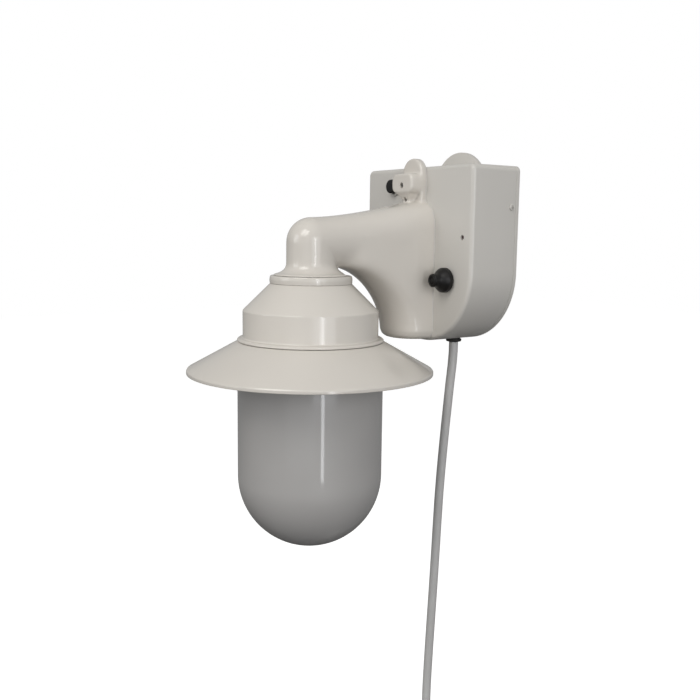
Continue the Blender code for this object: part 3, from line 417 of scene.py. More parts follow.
# %% The coil's places
COIL_CENTRE = Vector((1.0, -22.0, -520.0))
OUTER_LAYER, INNER_LAYER = 47.1, 40.0  # radii to the cord's middle
PITCH = 8.2  # from one turn to the next beside it, a little over the cord's thickness
ENTRY_BEND, ENTRY_STEPS = 45.0, 7
entry_angle = degrees(asin(ENTRY_BEND / (ENTRY_BEND + OUTER_LAYER)))
SLOTS = (
    (OUTER_LAYER, -PITCH / 2),
    (OUTER_LAYER, PITCH / 2),
    (OUTER_LAYER, 1.5 * PITCH),
    (INNER_LAYER, PITCH),
    (INNER_LAYER, 0.0),
    (INNER_LAYER, -PITCH),
)
MOVES = (345, 665, 985, 1305, 1625)  # degrees at which each move to the next place starts
MOVE_SWEEP = 40
LAST_MOVE = 1870
COIL_END = 1890  # the coil's right side, where the tail drops
TURN_STEP = 9
TAIL_DROPS = ((7, 1.2), (14, 2.4), (22, 3.5), (30, 4.1), (36, 4.1))  # down and forward
TAIL_END = -567.0
print(f"{(COIL_END - entry_angle) / 360:.1f} turns in {len(SLOTS)} places")


# %% Wind the coil
def coil_point(angle):
    radius, across = SLOTS[0]
    for slot, start in zip(SLOTS[1:], MOVES):
        share = ease_in_out((angle - start) / MOVE_SWEEP)
        radius += (slot[0] - radius) * share
        across += (slot[1] - across) * share
    across -= PITCH / 2 * ease_in_out((angle - LAST_MOVE) / MOVE_SWEEP)
    turned = radians(angle)
    return COIL_CENTRE + Vector((radius * sin(turned), across, radius * cos(turned)))


def cord_route():
    route = through(HANGING, HANGING_SPACING)
    top = COIL_CENTRE.z + (ENTRY_BEND + OUTER_LAYER) * cos(radians(entry_angle))
    for i in range(1, ENTRY_STEPS):
        a = radians((90 - entry_angle) * i / ENTRY_STEPS)
        x = COIL_CENTRE.x + ENTRY_BEND * (1 - cos(a))
        route.append(Vector((x, COIL_CENTRE.y - PITCH / 2, top - ENTRY_BEND * sin(a))))
    sweep = COIL_END - entry_angle
    steps = round(sweep / TURN_STEP)
    route += [coil_point(entry_angle + sweep * i / steps) for i in range(steps + 1)]
    end = route[-1]
    for drop, forward in TAIL_DROPS:
        across = COIL_CENTRE.y - PITCH - min(forward, PITCH / 2)
        route.append(Vector((end.x, across, end.z - drop)))
    route.append(Vector((end.x, COIL_CENTRE.y - 1.5 * PITCH, TAIL_END)))
    return [point * MM for point in route]


route = cord_route()

# %% [markdown]
# ## Camera
# The lamp is seen from its right, a little from above, with a lens that is
# slightly longer than normal, so its round parts keep their true proportions.
# A camera looks along its own -Z. The matrix below turns it up from the floor,
# round to the lamp, and then by a small roll.

# %% Place the camera
CAMERA_PLACE = Vector((598.5, -526.0, 22.3)) * MM
CAMERA_TURN, CAMERA_DIP, CAMERA_ROLL = 55.735, 8.022, 0.734
CAMERA_LENS = 44.8
camera_data = bpy.data.cameras.new("camera")
camera_data.lens = CAMERA_LENS
camera = bpy.data.objects.new("camera", camera_data)
bpy.context.scene.collection.objects.link(camera)
camera.matrix_world = (
    Matrix.Translation(CAMERA_PLACE)
    @ Matrix.Rotation(radians(CAMERA_TURN), 4, "Z")
    @ Matrix.Rotation(radians(90 - CAMERA_DIP), 4, "X")
    @ Matrix.Rotation(radians(CAMERA_ROLL), 4, "Z")
)
bpy.context.scene.camera = camera
print(f"camera {(CAMERA_PLACE - LAMP_AXIS).length:.2f} m from the lamp's axis")

# %% [markdown]
# ## Finishes
# A plain colour looks like plaster. Real plastic has a skin: a faint clouding
# where it cooled, a fine texture from the tool, and a gloss that varies where
# hands and weather touched it. Each finish below is a small node tree that
# reads the piece's own coordinates, so the pattern stays on the piece.


# %% Colours and nodes
def linear(hex_colour):
    """The linear colour of an sRGB hex value."""
    channels = [int(hex_colour[i : i + 2], 16) / 255 for i in (1, 3, 5)]
    return [c / 12.92 if c <= 0.04045 else ((c + 0.055) / 1.055) ** 2.4 for c in channels] + [1]


def add_node(tree, kind, sockets=None, **settings):
    """Adds a node, sets its own settings, and fills its sockets with values or links."""
    node = tree.nodes.new(kind)
    for key, value in settings.items():
        setattr(node, key, value)
    for key, value in (sockets or {}).items():
        if isinstance(value, bpy.types.NodeSocket):
            tree.links.new(value, node.inputs[key])
        else:
            node.inputs[key].default_value = value
    return node


def new_finish(name):
    """An empty material with its shader, its output and the piece's own coordinates."""
    material = bpy.data.materials.new(name)
    material.use_nodes = True
    tree = material.node_tree
    shader = tree.nodes["Principled BSDF"]
    place = add_node(tree, "ShaderNodeTexCoord").outputs["Object"]
    return material, tree, shader, place


# %% [markdown]
# Clouds as wide as a patch carry the colour and the gloss, and a fine noise
# carries the texture. The real texture of a tool is a few hundredths of a
# millimetre wide, too fine to show, so it is drawn as coarse as it needs to be
# seen, and kept shallow.


# %% One recipe for moulded, plated and glazed skins
CLOUD_DETAIL, FINE_DETAIL = 1.5, 2.0
MOTTLE = 0.8  # the share of the clouds' range over which the colour changes


def skin(name, colours, roughness, patch, grain, depth, **shader_values):
    """A finish of clouded colour, uneven gloss and a fine texture. Sizes are in mm."""
    material, tree, shader, place = new_finish(name)
    clouds = add_node(
        tree,
        "ShaderNodeTexNoise",
        {"Vector": place, "Scale": 1 / (patch * MM), "Detail": CLOUD_DETAIL},
    )
    ramp = add_node(tree, "ShaderNodeValToRGB", {"Fac": clouds.outputs["Fac"]})
    ramp.color_ramp.elements[0].position = 0.5 - MOTTLE / 2
    ramp.color_ramp.elements[1].position = 0.5 + MOTTLE / 2
    ramp.color_ramp.elements[0].color = linear(colours[0])
    ramp.color_ramp.elements[1].color = linear(colours[-1])
    tree.links.new(ramp.outputs["Color"], shader.inputs["Base Color"])
    gloss = add_node(
        tree,
        "ShaderNodeMapRange",
        {
            "Value": clouds.outputs["Fac"],
            "From Min": 0.1,
            "From Max": 0.9,
            "To Min": roughness[0],
            "To Max": roughness[1],
        },
    )
    tree.links.new(gloss.outputs[0], shader.inputs["Roughness"])
    fine = add_node(
        tree,
        "ShaderNodeTexNoise",
        {"Vector": place, "Scale": 1 / (grain * MM), "Detail": FINE_DETAIL},
    )
    bump = add_node(
        tree,
        "ShaderNodeBump",
        {"Height": fine.outputs["Fac"], "Strength": 1.0, "Distance": depth * MM},
    )
    tree.links.new(bump.outputs["Normal"], shader.inputs["Normal"])
    for key, value in shader_values.items():
        shader.inputs[key.replace("_", " ")].default_value = value
    return material


# %% [markdown]
# The lamp head and arm are injection-moulded ABS in a warm off-white, polished
# in the tool, so they show soft windows of light. The box is the same plastic
# from a duller tool. We keep the colour between two close hex values, because
# moulded plastic is even, and let only the gloss wander.

# %% Moulded plastics
# name, the two colours, the gloss from and to, then patch, grain and depth in mm
# ABS from a polished tool: a warm off-white with clear, soft windows of light.
moulded_abs = skin(
    "moulded_abs_polished", ("#cdc8c0", "#d3cec6"), (0.12, 0.18), 60, 0.9, 0.003, IOR=1.53
)
# The same ABS from a duller tool: broad, faint highlights.
box_abs = skin(
    "moulded_abs_satin", ("#c5c2bc", "#cbc8c2"), (0.28, 0.38), 60, 0.8, 0.010, IOR=1.53
)
# Phenolic: a deep black with a dull, slightly sandy gleam.
phenolic = skin(
    "moulded_phenolic_black", ("#080707", "#0e0c0c"), (0.38, 0.5), 6, 0.5, 0.03, IOR=1.4
)
# Nylon: a waxy grey that hardly reflects.
nylon = skin("moulded_nylon_grey", ("#85827c", "#94918b"), (0.5, 0.62), 10, 0.5, 0.03, IOR=1.53)
# Acrylic over a lamp that is off: a dark red with a bright glint.
lens = skin("moulded_acrylic_red", ("#31100e", "#40171a"), (0.12, 0.2), 3, 0.5, 0.005, IOR=1.49)

# %% [markdown]
# Metals keep the shader's default IOR. Turned and stamped steel gets a zinc
# plating with faint spangles, and the contacts are brass dulled by air.

# %% Metals
# Zinc plating: a cool grey sheen that changes from spangle to spangle.
zinc_steel = skin(
    "zinc_plated_steel", ("#8b8a86", "#a3a29d"), (0.28, 0.45), 2.5, 0.3, 0.01, Metallic=1.0
)
# Brass dulled by air: a soft yellow gleam.
brass = skin("dulled_brass", ("#a98c49", "#c2a662"), (0.25, 0.4), 5, 0.3, 0.01, Metallic=1.0)

# %% [markdown]
# Gaskets are moulded in rubber, the lampholder and the terminals are glazed
# porcelain, which stands the heat, and wires and cord are sheathed in PVC.

# %% Rubber, porcelain and wire
# Pale rubber: matt, with no clear highlight.
pale_rubber = skin(
    "moulded_rubber_pale", ("#c3c0ba", "#cac7c1"), (0.5, 0.65), 8, 0.4, 0.03, IOR=1.52
)
# Black rubber: the same, and near black. On the cord grommet this black is also painted shade for
# the shadow under the box.
rubber = skin("moulded_rubber_black_and_painted_shade", ("#242322", "#302e2c"), (0.7, 0.85), 5, 0.4, 0.05, IOR=1.52)
# Glazed porcelain: a cream white with a wet shine.
porcelain = skin(
    "glazed_porcelain", ("#e2ded4", "#eae6dc"), (0.12, 0.2), 14, 1.5, 0.01, IOR=1.55
)
# Extruded PVC: a satin skin with a long, soft highlight along the wire.
pvc_black = skin("extruded_pvc_black", ("#181716", "#22201f"), (0.4, 0.5), 6, 0.5, 0.02, IOR=1.54)
pvc_white = skin("extruded_pvc_white", ("#d3d1cb", "#dcdad5"), (0.4, 0.5), 6, 0.5, 0.02, IOR=1.54)
cord_sleeve = skin(
    "extruded_pvc_pale", ("#bcbbb9", "#c6c5c3"), (0.34, 0.48), 18, 0.7, 0.03, IOR=1.54
)
print(len(bpy.data.materials), "finishes so far")

# %% [markdown]
# Opal glass is cased: a milky layer scatters the light, and a clear polished
# skin lies over it. So a rough grey body carries a smooth coat, which gives
# crisp reflections on a soft ground. The bulb inside is etched glass.

# %% Glass
# Opal glass: a milky grey ground under crisp, clear highlights.
opal_glass = skin(
    "opal_cased_glass",
    ("#a6a4a2", "#b0aeab"),
    (0.40, 0.50),
    60,
    4.0,
    0.004,
    IOR=1.52,
    Coat_Weight=0.75,
    Coat_Roughness=0.05,
    Coat_IOR=1.52,
)
# Etched glass: an even, frosted white.
etched_glass = skin(
    "etched_bulb_glass", ("#d9d7d1", "#e2e0da"), (0.3, 0.4), 12, 0.5, 0.01, IOR=1.52
)

# %% [markdown]
# ## The globe
# The jar is blown into a mould: a threaded neck, a round shoulder, a straight
# barrel and a half-sphere below. Its wall is 3 mm thick, so the outline runs
# down the outside and back up the inside.

# %% Blow the globe
NECK, BARREL, WALL = 48.0, 59.3, 3.0
SHOULDER, BARREL_END, NECK_TOP = -78.4, -180.0, -54.0


def globe_outline():
    outside = rounded(
        [
            (NECK, NECK_TOP, 0.8), (NECK, SHOULDER + 0.2, 0.6), (54.4, SHOULDER - 0.7, 2.0),
            (BARREL, SHOULDER - 8.5, 12.0), (BARREL, BARREL_END),
        ]
    )
    outside = outside[:-1]
    outer = bow((0, BARREL_END), BARREL, 0, -90, 36)
    inner = bow((0, BARREL_END), BARREL - WALL, -90, 0, 30)
    inside = [
        (BARREL - WALL, SHOULDER - 9.5),
        (NECK - WALL, SHOULDER - 4),
        (NECK - WALL, NECK_TOP),
    ]
    rest = [(max(r, 0) * MM, h * MM) for r, h in outer + inner + inside]
    return outside + rest


globe = turn("globe_jar", globe_outline(), LAMP_AXIS, sides=128)
dress(globe, opal_glass, "globe", "opal_glass", "globe")

# %% [markdown]
# ## Canopy, collar and shade
# The canopy is a bell: a cone, a straight band and a rolled bead that the shade
# hangs from. Inside it, a second ring takes the globe's thread. All of it is one
# moulding, so it is one outline, spun once.

# %% Turn the canopy
canopy = turn(
    "canopy_bell",
    rounded(
        [
            (6.8, -22.9, 0.2), (33.0, -22.9, 0.8), (54.9, -44.5, 1.8), (54.9, -66.2, 1.4),
            (58.0, -66.6, 1.0), (59.4, -67.6, 0.9), (59.4, -68.9, 0.7), (52.9, -68.9, 0.4),
            (52.9, -45.6, 1.0), (50.6, -43.4, 0.4), (50.6, -75.7, 0.4), (48.6, -75.7, 0.4),
            (48.6, -41.2, 0.4), (31.9, -24.9, 0.6), (6.8, -24.9, 0.2),
        ]
    ),
    LAMP_AXIS,
    sides=128,
)
dress(canopy, moulded_abs, "lamp", "lamp_plastic", "canopy")

# %% [markdown]
# The collar is a thick washer that the arm's flared foot stands on. The shade
# is a flat cone with a turned-down lip, which stiffens its edge and lets rain
# drip off clear of the glass.

# %% Turn the collar and the shade
collar = turn(
    "canopy_collar_ring",
    rounded(
        [
            (6.8, -22.8, 0.2), (33.2, -22.8, 0.5), (33.4, -19.4, 1.5), (32.9, -16.5, 1.3),
            (6.8, -16.5, 0.2),
        ]
    ),
    LAMP_AXIS,
)
shade = turn(
    "shade_skirt",
    rounded(
        [
            (50.9, -69.3, 0.3), (59.2, -69.3, 1.2), (99.4, -91.6, 1.0), (99.95, -92.6, 0.5),
            (99.95, -94.9, 0.5), (98.6, -94.9, 0.5), (97.6, -93.3, 0.8), (58.6, -71.3, 1.2),
            (50.9, -71.3, 0.3),
        ]
    ),
    LAMP_AXIS,
    sides=160,
)
for piece, node in ((collar, "canopy_collar"), (shade, "shade")):
    dress(piece, moulded_abs, "lamp", "lamp_plastic", node)

# %% [markdown]
# ## The arm
# The arm is a hollow moulding: a beam that thins out from the box, a curved web
# under it, a pipe that turns down through a round elbow, and a flared foot. On
# a real tool every inside corner is rounded with one cutter. We get the same by
# joining rough solids, remeshing them into one skin and smoothing it, which
# rounds every corner alike. The gasket closes the hollow, so only the outside
# is made.


# %% Loft a solid from closed loops
def loft(name, loops):
    """Joins closed loops of points, in mm, into one solid with filled ends."""
    deselect_all()
    bpy.ops.mesh.primitive_circle_add(vertices=len(loops[0]), radius=1)
    bpy.ops.object.mode_set(mode="EDIT")
    for extra in loops[1:]:
        bpy.ops.mesh.primitive_circle_add(vertices=len(extra), radius=1)
    bm = bmesh.from_edit_mesh(bpy.context.object.data)
    bm.verts.ensure_lookup_table()
    for vertex, point in zip(bm.verts, [p for loop in loops for p in loop]):
        vertex.co = Vector(point) * MM
    size = len(loops[0])
    for i in range(len(loops) - 1):
        wanted = range(i * size, (i + 2) * size)
        pick(
            lambda edge: len(edge.link_faces) < 2 and all(v.index in wanted for v in edge.verts),
            "edges",
        )
        bpy.ops.mesh.bridge_edge_loops()
        bmesh.from_edit_mesh(bpy.context.object.data).verts.ensure_lookup_table()
    for first in (0, (len(loops) - 1) * size):
        wanted = range(first, first + size)
        pick(lambda edge: all(v.index in wanted for v in edge.verts), "edges")
        bpy.ops.mesh.edge_face_add()
    bpy.ops.mesh.select_all(action="SELECT")
    bpy.ops.mesh.quads_convert_to_tris()
    bpy.ops.mesh.normals_make_consistent(inside=False)
    return done(name)


# %% Measures of the arm, in mm
REACH = -LAMP_AXIS.y / MM
BACK = ARM_BACK / MM
SPARE = 5.0  # the rough solids run on behind the arm's back, and are cut off flat at the end
ELBOW_HEIGHT, PIPE = 10.0, 20.0
ROOT_RISE, ROOT_HALF = 16.0, 26.6
SADDLE_END = -69.8
FOOT = -72.0
NOSE_DEPTH = 21.0  # how deep the web's round front edge is
ARCH_FOOT, ARCH_RISE, ARCH_SPAN, ARCH_ROUNDNESS = -66, 56, 57, 1.8
FOOT_ROUND = 7  # the radius under the saddle
BEAM_STATIONS, BEAM_SIDES, NOSE_SIDES = 12, 48, 24
WEB_HEIGHTS = (
    *(FOOT, -71.2, -69.0, -65.0, -59, -53, -47, -41, -35, -29),
    *(-24, -19, -15, -12, -10.2, 16),
)
print(f"reach {REACH:.1f} mm, {ROOT_HALF * 2} mm wide at the root")


# %% Lines of the arm
def top_line(y):
    share = max(0.0, (REACH + y) / (REACH + BACK))
    return ELBOW_HEIGHT + PIPE + ROOT_RISE * share**1.5


def half_width(y):
    share = min(1.0, max(0.0, (SADDLE_END - y) / (SADDLE_END + REACH - PIPE)))
    return ROOT_HALF + (PIPE - ROOT_HALF) * ease_in_out(share) ** 0.8


def under_line(z):
    """How far out the web reaches at a height."""
    share = min(1.0, max(0.0, (z - ARCH_FOOT) / ARCH_RISE))
    arch = (1 - share**ARCH_ROUNDNESS) ** (1 / ARCH_ROUNDNESS)
    return REACH - PIPE - ARCH_SPAN * arch


# %% Loops of the beam and of the web
def beam_loops():
    """Sections from behind the root, where they are squarish, to the round elbow."""
    loops = []
    for i in range(-1, BEAM_STATIONS + 1):
        y = BACK - (REACH + BACK) * i / BEAM_STATIONS if i >= 0 else BACK + SPARE
        high, low = top_line(min(y, BACK)), ELBOW_HEIGHT - PIPE
        power = 2 / (2.8 - 0.8 * max(i, 0) / BEAM_STATIONS)
        loop = []
        for step in range(BEAM_SIDES):
            a = 2 * pi * step / BEAM_SIDES
            x = abs(cos(a)) ** power * half_width(y) * (1 if cos(a) >= 0 else -1)
            z = abs(sin(a)) ** power * (high - low) / 2 * (1 if sin(a) >= 0 else -1)
            loop.append((x, y, (high + low) / 2 + z))
        loops.append(loop)
    return loops


def web_loops():
    """Level sections with a round nose. The lowest are tucked in, to round the saddle's foot."""
    loops = []
    for z in WEB_HEIGHTS:
        lift = z - FOOT
        slope = 1 - min(lift, FOOT_ROUND) / FOOT_ROUND
        tuck = FOOT_ROUND * (1 - sqrt(max(0.0, 1 - slope**2)))
        reach = under_line(z) - tuck
        nose_start = reach - NOSE_DEPTH
        flank = half_width(-nose_start) - tuck
        root = ROOT_HALF - tuck
        corner = max(SADDLE_END, -nose_start + 0.5)
        loop = [(root, BACK + SPARE, z), (root, corner, z)]
        for step in range(NOSE_SIDES + 1):
            a = pi * step / NOSE_SIDES
            loop.append((flank * cos(a), -nose_start - NOSE_DEPTH * sin(a), z))
        loop += [(-root, corner, z), (-root, BACK + SPARE, z)]
        loops.append(loop)
    return loops


# %% Rough out the beam, the web and the pipe
beam = loft("arm_beam", beam_loops())
web = loft("arm_web", web_loops())
elbow = bow((0, ELBOW_HEIGHT), PIPE, 90, 0, 16)
flare = [
    (PIPE, -7), (20.4, -9.4), (22.0, -12.0), (25.4, -14.2), (29.6, -15.3), (30.5, -15.8),
    (30.5, -16.4), (0, -16.4),
]
pipe_outline = [(r * MM, h * MM) for r, h in elbow + flare]
pipe = turn("arm_pipe", pipe_outline, LAMP_AXIS, closed=False)
print(len(beam.data.polygons), len(web.data.polygons), len(pipe.data.polygons), "rough faces")

# %% [markdown]
# The root of the arm has a tongue that climbs the front of the box, and a boss
# on it with a gusset below, for the two screws that hold the arm. They are
# blocks, the boss with eased edges. The gusset's foot is drawn together and
# back, so it runs out into the tongue.

# %% Rough out the tongue and the boss
TONGUE_HALF, TONGUE_DEPTH, TONGUE_TOP = 13.5, 4.2, 67.5
BOSS_DEPTH = 15.2
rear = ARM_BACK + SPARE * MM
boss_front = ARM_BACK - BOSS_DEPTH * MM
tongue = brick(
    (-TONGUE_HALF * MM, ARM_BACK - TONGUE_DEPTH * MM, 20 * MM),
    (TONGUE_HALF * MM, rear, TONGUE_TOP * MM),
)
tip_centre = (0, ARM_BACK + (SPARE - TONGUE_DEPTH) / 2 * MM, TONGUE_TOP * MM)
tip = drum(tip_centre, TONGUE_HALF, TONGUE_DEPTH + SPARE, sides=64)
boss = brick((-14 * MM, boss_front, 51.5 * MM), (14 * MM, rear, 68 * MM))
edit()
ease(crossing(1), 6.0, 8)
ease(flat_on(1, boss_front), 1.6, 4)
boss = done("arm_boss")
print("boss", len(boss.data.polygons), "faces")

# %% Rough out the gusset
GUSSET_DEPTH, GUSSET_FOOT = 14.8, 43.0
FOOT_SHARE, FOOT_SETBACK = 0.24, 6.5
gusset = brick(
    (-9.5 * MM, ARM_BACK - GUSSET_DEPTH * MM, GUSSET_FOOT * MM), (9.5 * MM, rear, 52.5 * MM)
)
edit()
foot_level = (GUSSET_FOOT + 2) * MM
pick(lambda v: v.co.z < foot_level)
bpy.ops.transform.resize(value=(FOOT_SHARE, 1, 1), center_override=(0, 0, GUSSET_FOOT * MM))
pick(lambda v: v.co.z < foot_level and v.co.y < boss_front + 2 * MM)
bpy.ops.transform.translate(value=(0, FOOT_SETBACK * MM, 0))
gusset = done("arm_gusset")
print("gusset", len(gusset.data.polygons), "faces")

# %% Join, remesh and smooth the arm
VOXEL = 0.9 * MM
EVEN_PASSES, THROAT_PASSES = ((7, 300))
rough_arm = join(beam, web, pipe, tongue, tip, boss, gusset)
modify(rough_arm, "REMESH", mode="VOXEL", voxel_size=VOXEL, use_smooth_shade=True)
modify(rough_arm, "SMOOTH", factor=0.5, iterations=EVEN_PASSES)
print("remeshed arm", len(rough_arm.data.polygons), "faces")

# %% [markdown]
# The throat is where the web flows into the beam, between the elbow and the
# root. There the real arm has one long hollow curve, so those points are
# smoothed much further, and the weight fades out towards the firm edges.

# %% Smooth the throat
throat = rough_arm.vertex_groups.new(name="throat")
for vertex in rough_arm.data.vertices:
    _, y, z = vertex.co / MM  # full weight inside, and a fade of 6 to 20 mm at each end
    lengthwise = ease_in_out((-72 - y) / 14) * ease_in_out((y + 139) / 6)
    upright = ease_in_out((14 - z) / 14) * ease_in_out((z + 66) / 20)
    if lengthwise * upright > 0.01:
        throat.add([vertex.index], lengthwise * upright, "REPLACE")
modify(rough_arm, "SMOOTH", factor=0.5, iterations=THROAT_PASSES, vertex_group="throat")

# %% [markdown]
# The rough solids run on behind the arm's back. A flat cut gives the arm its
# bearing face, and the thin slice between that face and the box is the rubber
# gasket, so the two share one outline.


# %% Cut off the arm and its gasket
def cut_flat(piece, place, keep):
    """Cuts a piece across Y, and keeps what lies in front of the place or behind it."""
    activate(piece)
    edit()
    bpy.ops.mesh.select_all(action="SELECT")
    bpy.ops.mesh.bisect(
        plane_co=(0, place, 0),
        plane_no=(0, 1, 0),
        use_fill=True,
        clear_outer=keep == "front",
        clear_inner=keep == "back",
    )
    bpy.ops.object.mode_set(mode="OBJECT")


SLIT = 0.05 * MM  # between the gasket and each face that it seals
arm = copy_of(rough_arm)
cut_flat(arm, ARM_BACK, "front")
arm = done("arm_moulding")
cut_flat(rough_arm, ARM_BACK + SLIT, "back")
cut_flat(rough_arm, BOX_FRONT - SLIT, "front")
pad = done("arm_gasket_pad")
print(f"gasket {(BOX_FRONT - ARM_BACK - 2 * SLIT) / MM:.2f} mm thick")

# %% Sink the screws' recesses
RECESSES = ((58, BOSS_DEPTH, 2.5), (46.5, 10.7, 1.9))  # height, the front's depth, radius
for z, depth, radius in RECESSES:
    carve(arm, drum((0, ARM_BACK - depth * MM, z * MM), radius, 4.4))
smooth(arm, 50)
smooth(pad, 40)
dress(arm, moulded_abs, "lamp", "lamp_plastic", "lamp_arm")
dress(pad, pale_rubber, "lamp", "rubber", "arm_gasket")

# %% [markdown]
# ## The wall box
# The box is a deep moulded cover: square shoulders above, and two large round
# corners below. It starts as a cube. The four long edges are rounded first,
# then the rim of the front face, and last the back is opened with an inset and
# pushed in, which leaves an even wall.


# %% Mould the box
COVER_BACK, PLATE_FRONT = -4.35 * MM, -3.25 * MM
COVER_WALL = 2.8 * MM
UPPER_CORNER, LOWER_CORNER = 5.0, 60.0


def rounded_block(front, back):
    """A block as wide and high as the box, with small upper and large lower corners."""
    piece = brick((box_low.x, front, box_low.z), (box_high.x, back, box_high.z))
    edit()
    for side in (box_low.x, box_high.x):
        ease(along(1, x=side, z=box_low.z), LOWER_CORNER, 28)
        ease(along(1, x=side, z=box_high.z), UPPER_CORNER, 6)
    return piece


shell = rounded_block(BOX_FRONT, COVER_BACK)
ease(flat_on(1, BOX_FRONT), 3.5, 6)
pick(lambda f: f.normal.y > 0.99 and f.calc_center_median().y > -5 * MM, "faces")
bpy.ops.mesh.inset(thickness=COVER_WALL)
bpy.ops.mesh.extrude_region_move(
    TRANSFORM_OT_translate={"value": (0, BOX_FRONT - box_high.y + COVER_WALL, 0)}
)
shell = done("box_cover")

# %% Drill the box
KNOB = Vector((42.3 * MM, BOX_FRONT, -20.3 * MM))
BUTTON = Vector((-31.0 * MM, BOX_FRONT, 58.5 * MM))
PILOT = Vector((60.4 * MM, BOX_FRONT, 15.2 * MM))
carve(
    shell,
    drum(KNOB, 4.8, 12),
    drum(BUTTON, 6.4, 12),
    drum(PILOT, 2.0, 12),
    drum((0, BOX_FRONT, 10 * MM), 8, 12),  # for the lamp's wires, behind the arm
    drum((CORD_EXIT[0], CORD_EXIT[1], box_low.z), 5.9, 12, "up"),
)
smooth(shell, 35)
dress(shell, box_abs, "lamp", "box_plastic", "wall_box")

# %% [markdown]
# The back plate closes the box and takes the wall screws. It has the box's own
# outline, with a round ear above it to hang the lamp by. The ear is part of a
# disc as thick as the plate, joined to it before the edges are broken.

# %% Mould the back plate
EAR_RADIUS = 34
HOLE_CIRCLE, HOLE_CENTRE = 53, -9
plate = rounded_block(PLATE_FRONT, 0)
plate = done("back_plate_moulding")
ear_centre = (0, PLATE_FRONT / 2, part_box("back_plate")[1].z - EAR_RADIUS * MM)
unite(plate, drum(ear_centre, EAR_RADIUS, -PLATE_FRONT / MM, sides=128))
modify(plate, "BEVEL", width=0.6 * MM, segments=3, limit_method="ANGLE", angle_limit=radians(50))
wall_holes = []
for angle in (30, 150, 270):
    x = HOLE_CIRCLE * cos(radians(angle))
    z = HOLE_CENTRE + HOLE_CIRCLE * sin(radians(angle))
    wall_holes.append(drum((x * MM, 0, z * MM), 2.6, 12))
carve(plate, *wall_holes)
smooth(plate, 35)
dress(plate, box_abs, "lamp", "box_plastic", "back_plate")

# %% [markdown]
# ## Knob and push button
# The dimmer knob is a phenolic moulding: a wide skirt that fingers turn, and a
# narrow nose. It is hollow behind, where it slides on the dimmer's shaft.

# %% Turn the knob
knob_outline = rounded(
    [
        (3.3, 5.9, 0.2), (8.2, 5.2, 0.2), (8.2, 0.8, 0.2), (9.9, 0.8, 0.2), (10.3, 1.3, 0.5),
        (10.3, 5.0, 1.6), (8.4, 7.6, 2.0), (6.1, 10.2, 2.0), (5.6, 12.0, 1.5), (5.4, 15.4, 0.9),
        (3.0, 16.2, 1.6),
    ]
)
shaft_hole = [(0, 12.3 * MM), (3.3 * MM, 12.3 * MM)]
knob_outline = shaft_hole + knob_outline + [(0, 16.3 * MM)]
knob = turn("dimmer_knob", knob_outline, KNOB, "out", closed=False, sides=72)
dress(knob, phenolic, "knob", "black_plastic", "control_knob")

# %% [markdown]
# The push button is a plain black cap. It stands in a low ring of the box's own
# pale plastic, which keeps a sleeve or a branch from pressing it.

# %% Turn the button and its ring
cap = turn(
    "button_cap",
    rounded([(0, 0.9), (6.0, 0.9, 0.3), (6.0, 6.1, 1.2), (0, 6.35)])[:-1] + [(0, 6.3 * MM)],
    BUTTON,
    "out",
    closed=False,
    sides=64,
)
bezel = turn(
    "button_ring",
    rounded([(6.4, 0.3, 0.1), (8.2, 0.3, 0.2), (8.2, 1.3, 0.5), (7.4, 2.1, 0.5), (6.4, 2.1, 0.3)]),
    BUTTON,
    "out",
    sides=64,
)
dress(cap, phenolic, "button", "black_plastic", "push_button")
dress(bezel, box_abs, "lamp", "steel", "button_bezel")


# %% [markdown]
# ## Screws
# Every screw that shows has a domed head with a cross recess. There are three
# sizes: two screws hold the arm, and the box has one of the third size on each
# side, painted over with the box. Each size is modelled once, upright, and
# copied to its places.


# %% Model a screw of each size
def make_screw(head, shank, length):
    """An upright screw whose head stands on the origin, sizes in mm."""
    corners = [
        (shank, -length, 0.2),
        (shank, 0, 0.1),
        (head, 0, 0.1),
        (head, head * 0.24, 0.5),
        (head * 0.7, head * 0.54, 0.8),
    ]
    outline = [(0, -length * MM)] + rounded(corners) + [(0, head * 0.6 * MM)]
    screw = turn("screw", outline, sides=40, closed=False)
    long, short = head * 1.15 / 2 * MM, head * 0.24 / 2 * MM
    cross, bar = [
        brick((-x, -y, head * 0.12 * MM), (x, y, head * MM))
        for x, y in ((long, short), (short, long))
    ]
    unite(cross, bar)
    carve(screw, cross)
    smooth(screw, 35)
    return screw


patterns = {
    "boss": make_screw(2.3, 1.5, 21.5),
    "gusset": make_screw(1.7, 1.0, 7.0),
    "side": make_screw(2.4, 1.4, 8.0),
}
print(len(patterns), "sizes of screw")

# %% Set the screws
SEAT = 0.05 * MM  # how far a side screw's head stands off the box
SCREWS = (
    ("arm_screw_top", "boss", (0, ARM_BACK - 13.05 * MM, 58 * MM), "out"),
    ("arm_screw_lower", "gusset", (0, ARM_BACK - 8.55 * MM, 46.5 * MM), "out"),
    ("side_screw_left", "side", (box_low.x - SEAT, -8.5 * MM, 40 * MM), "left"),
    ("side_screw_right", "side", (box_high.x + SEAT, -8.5 * MM, 40 * MM), "right"),
)
for node, size, at, pointing in SCREWS:
    screw = copy_of(patterns[size])
    screw.rotation_euler = FACING[pointing]
    screw.location = at
    material = box_abs if size == "side" else zinc_steel
    dress(done(node + "_cross"), material, "lamp", "steel", node)
for pattern in patterns.values():
    bpy.data.objects.remove(pattern)

# %% [markdown]
# ## Cord, strap and plug
# The cord is a curve with a round section, so it keeps one thickness all along.

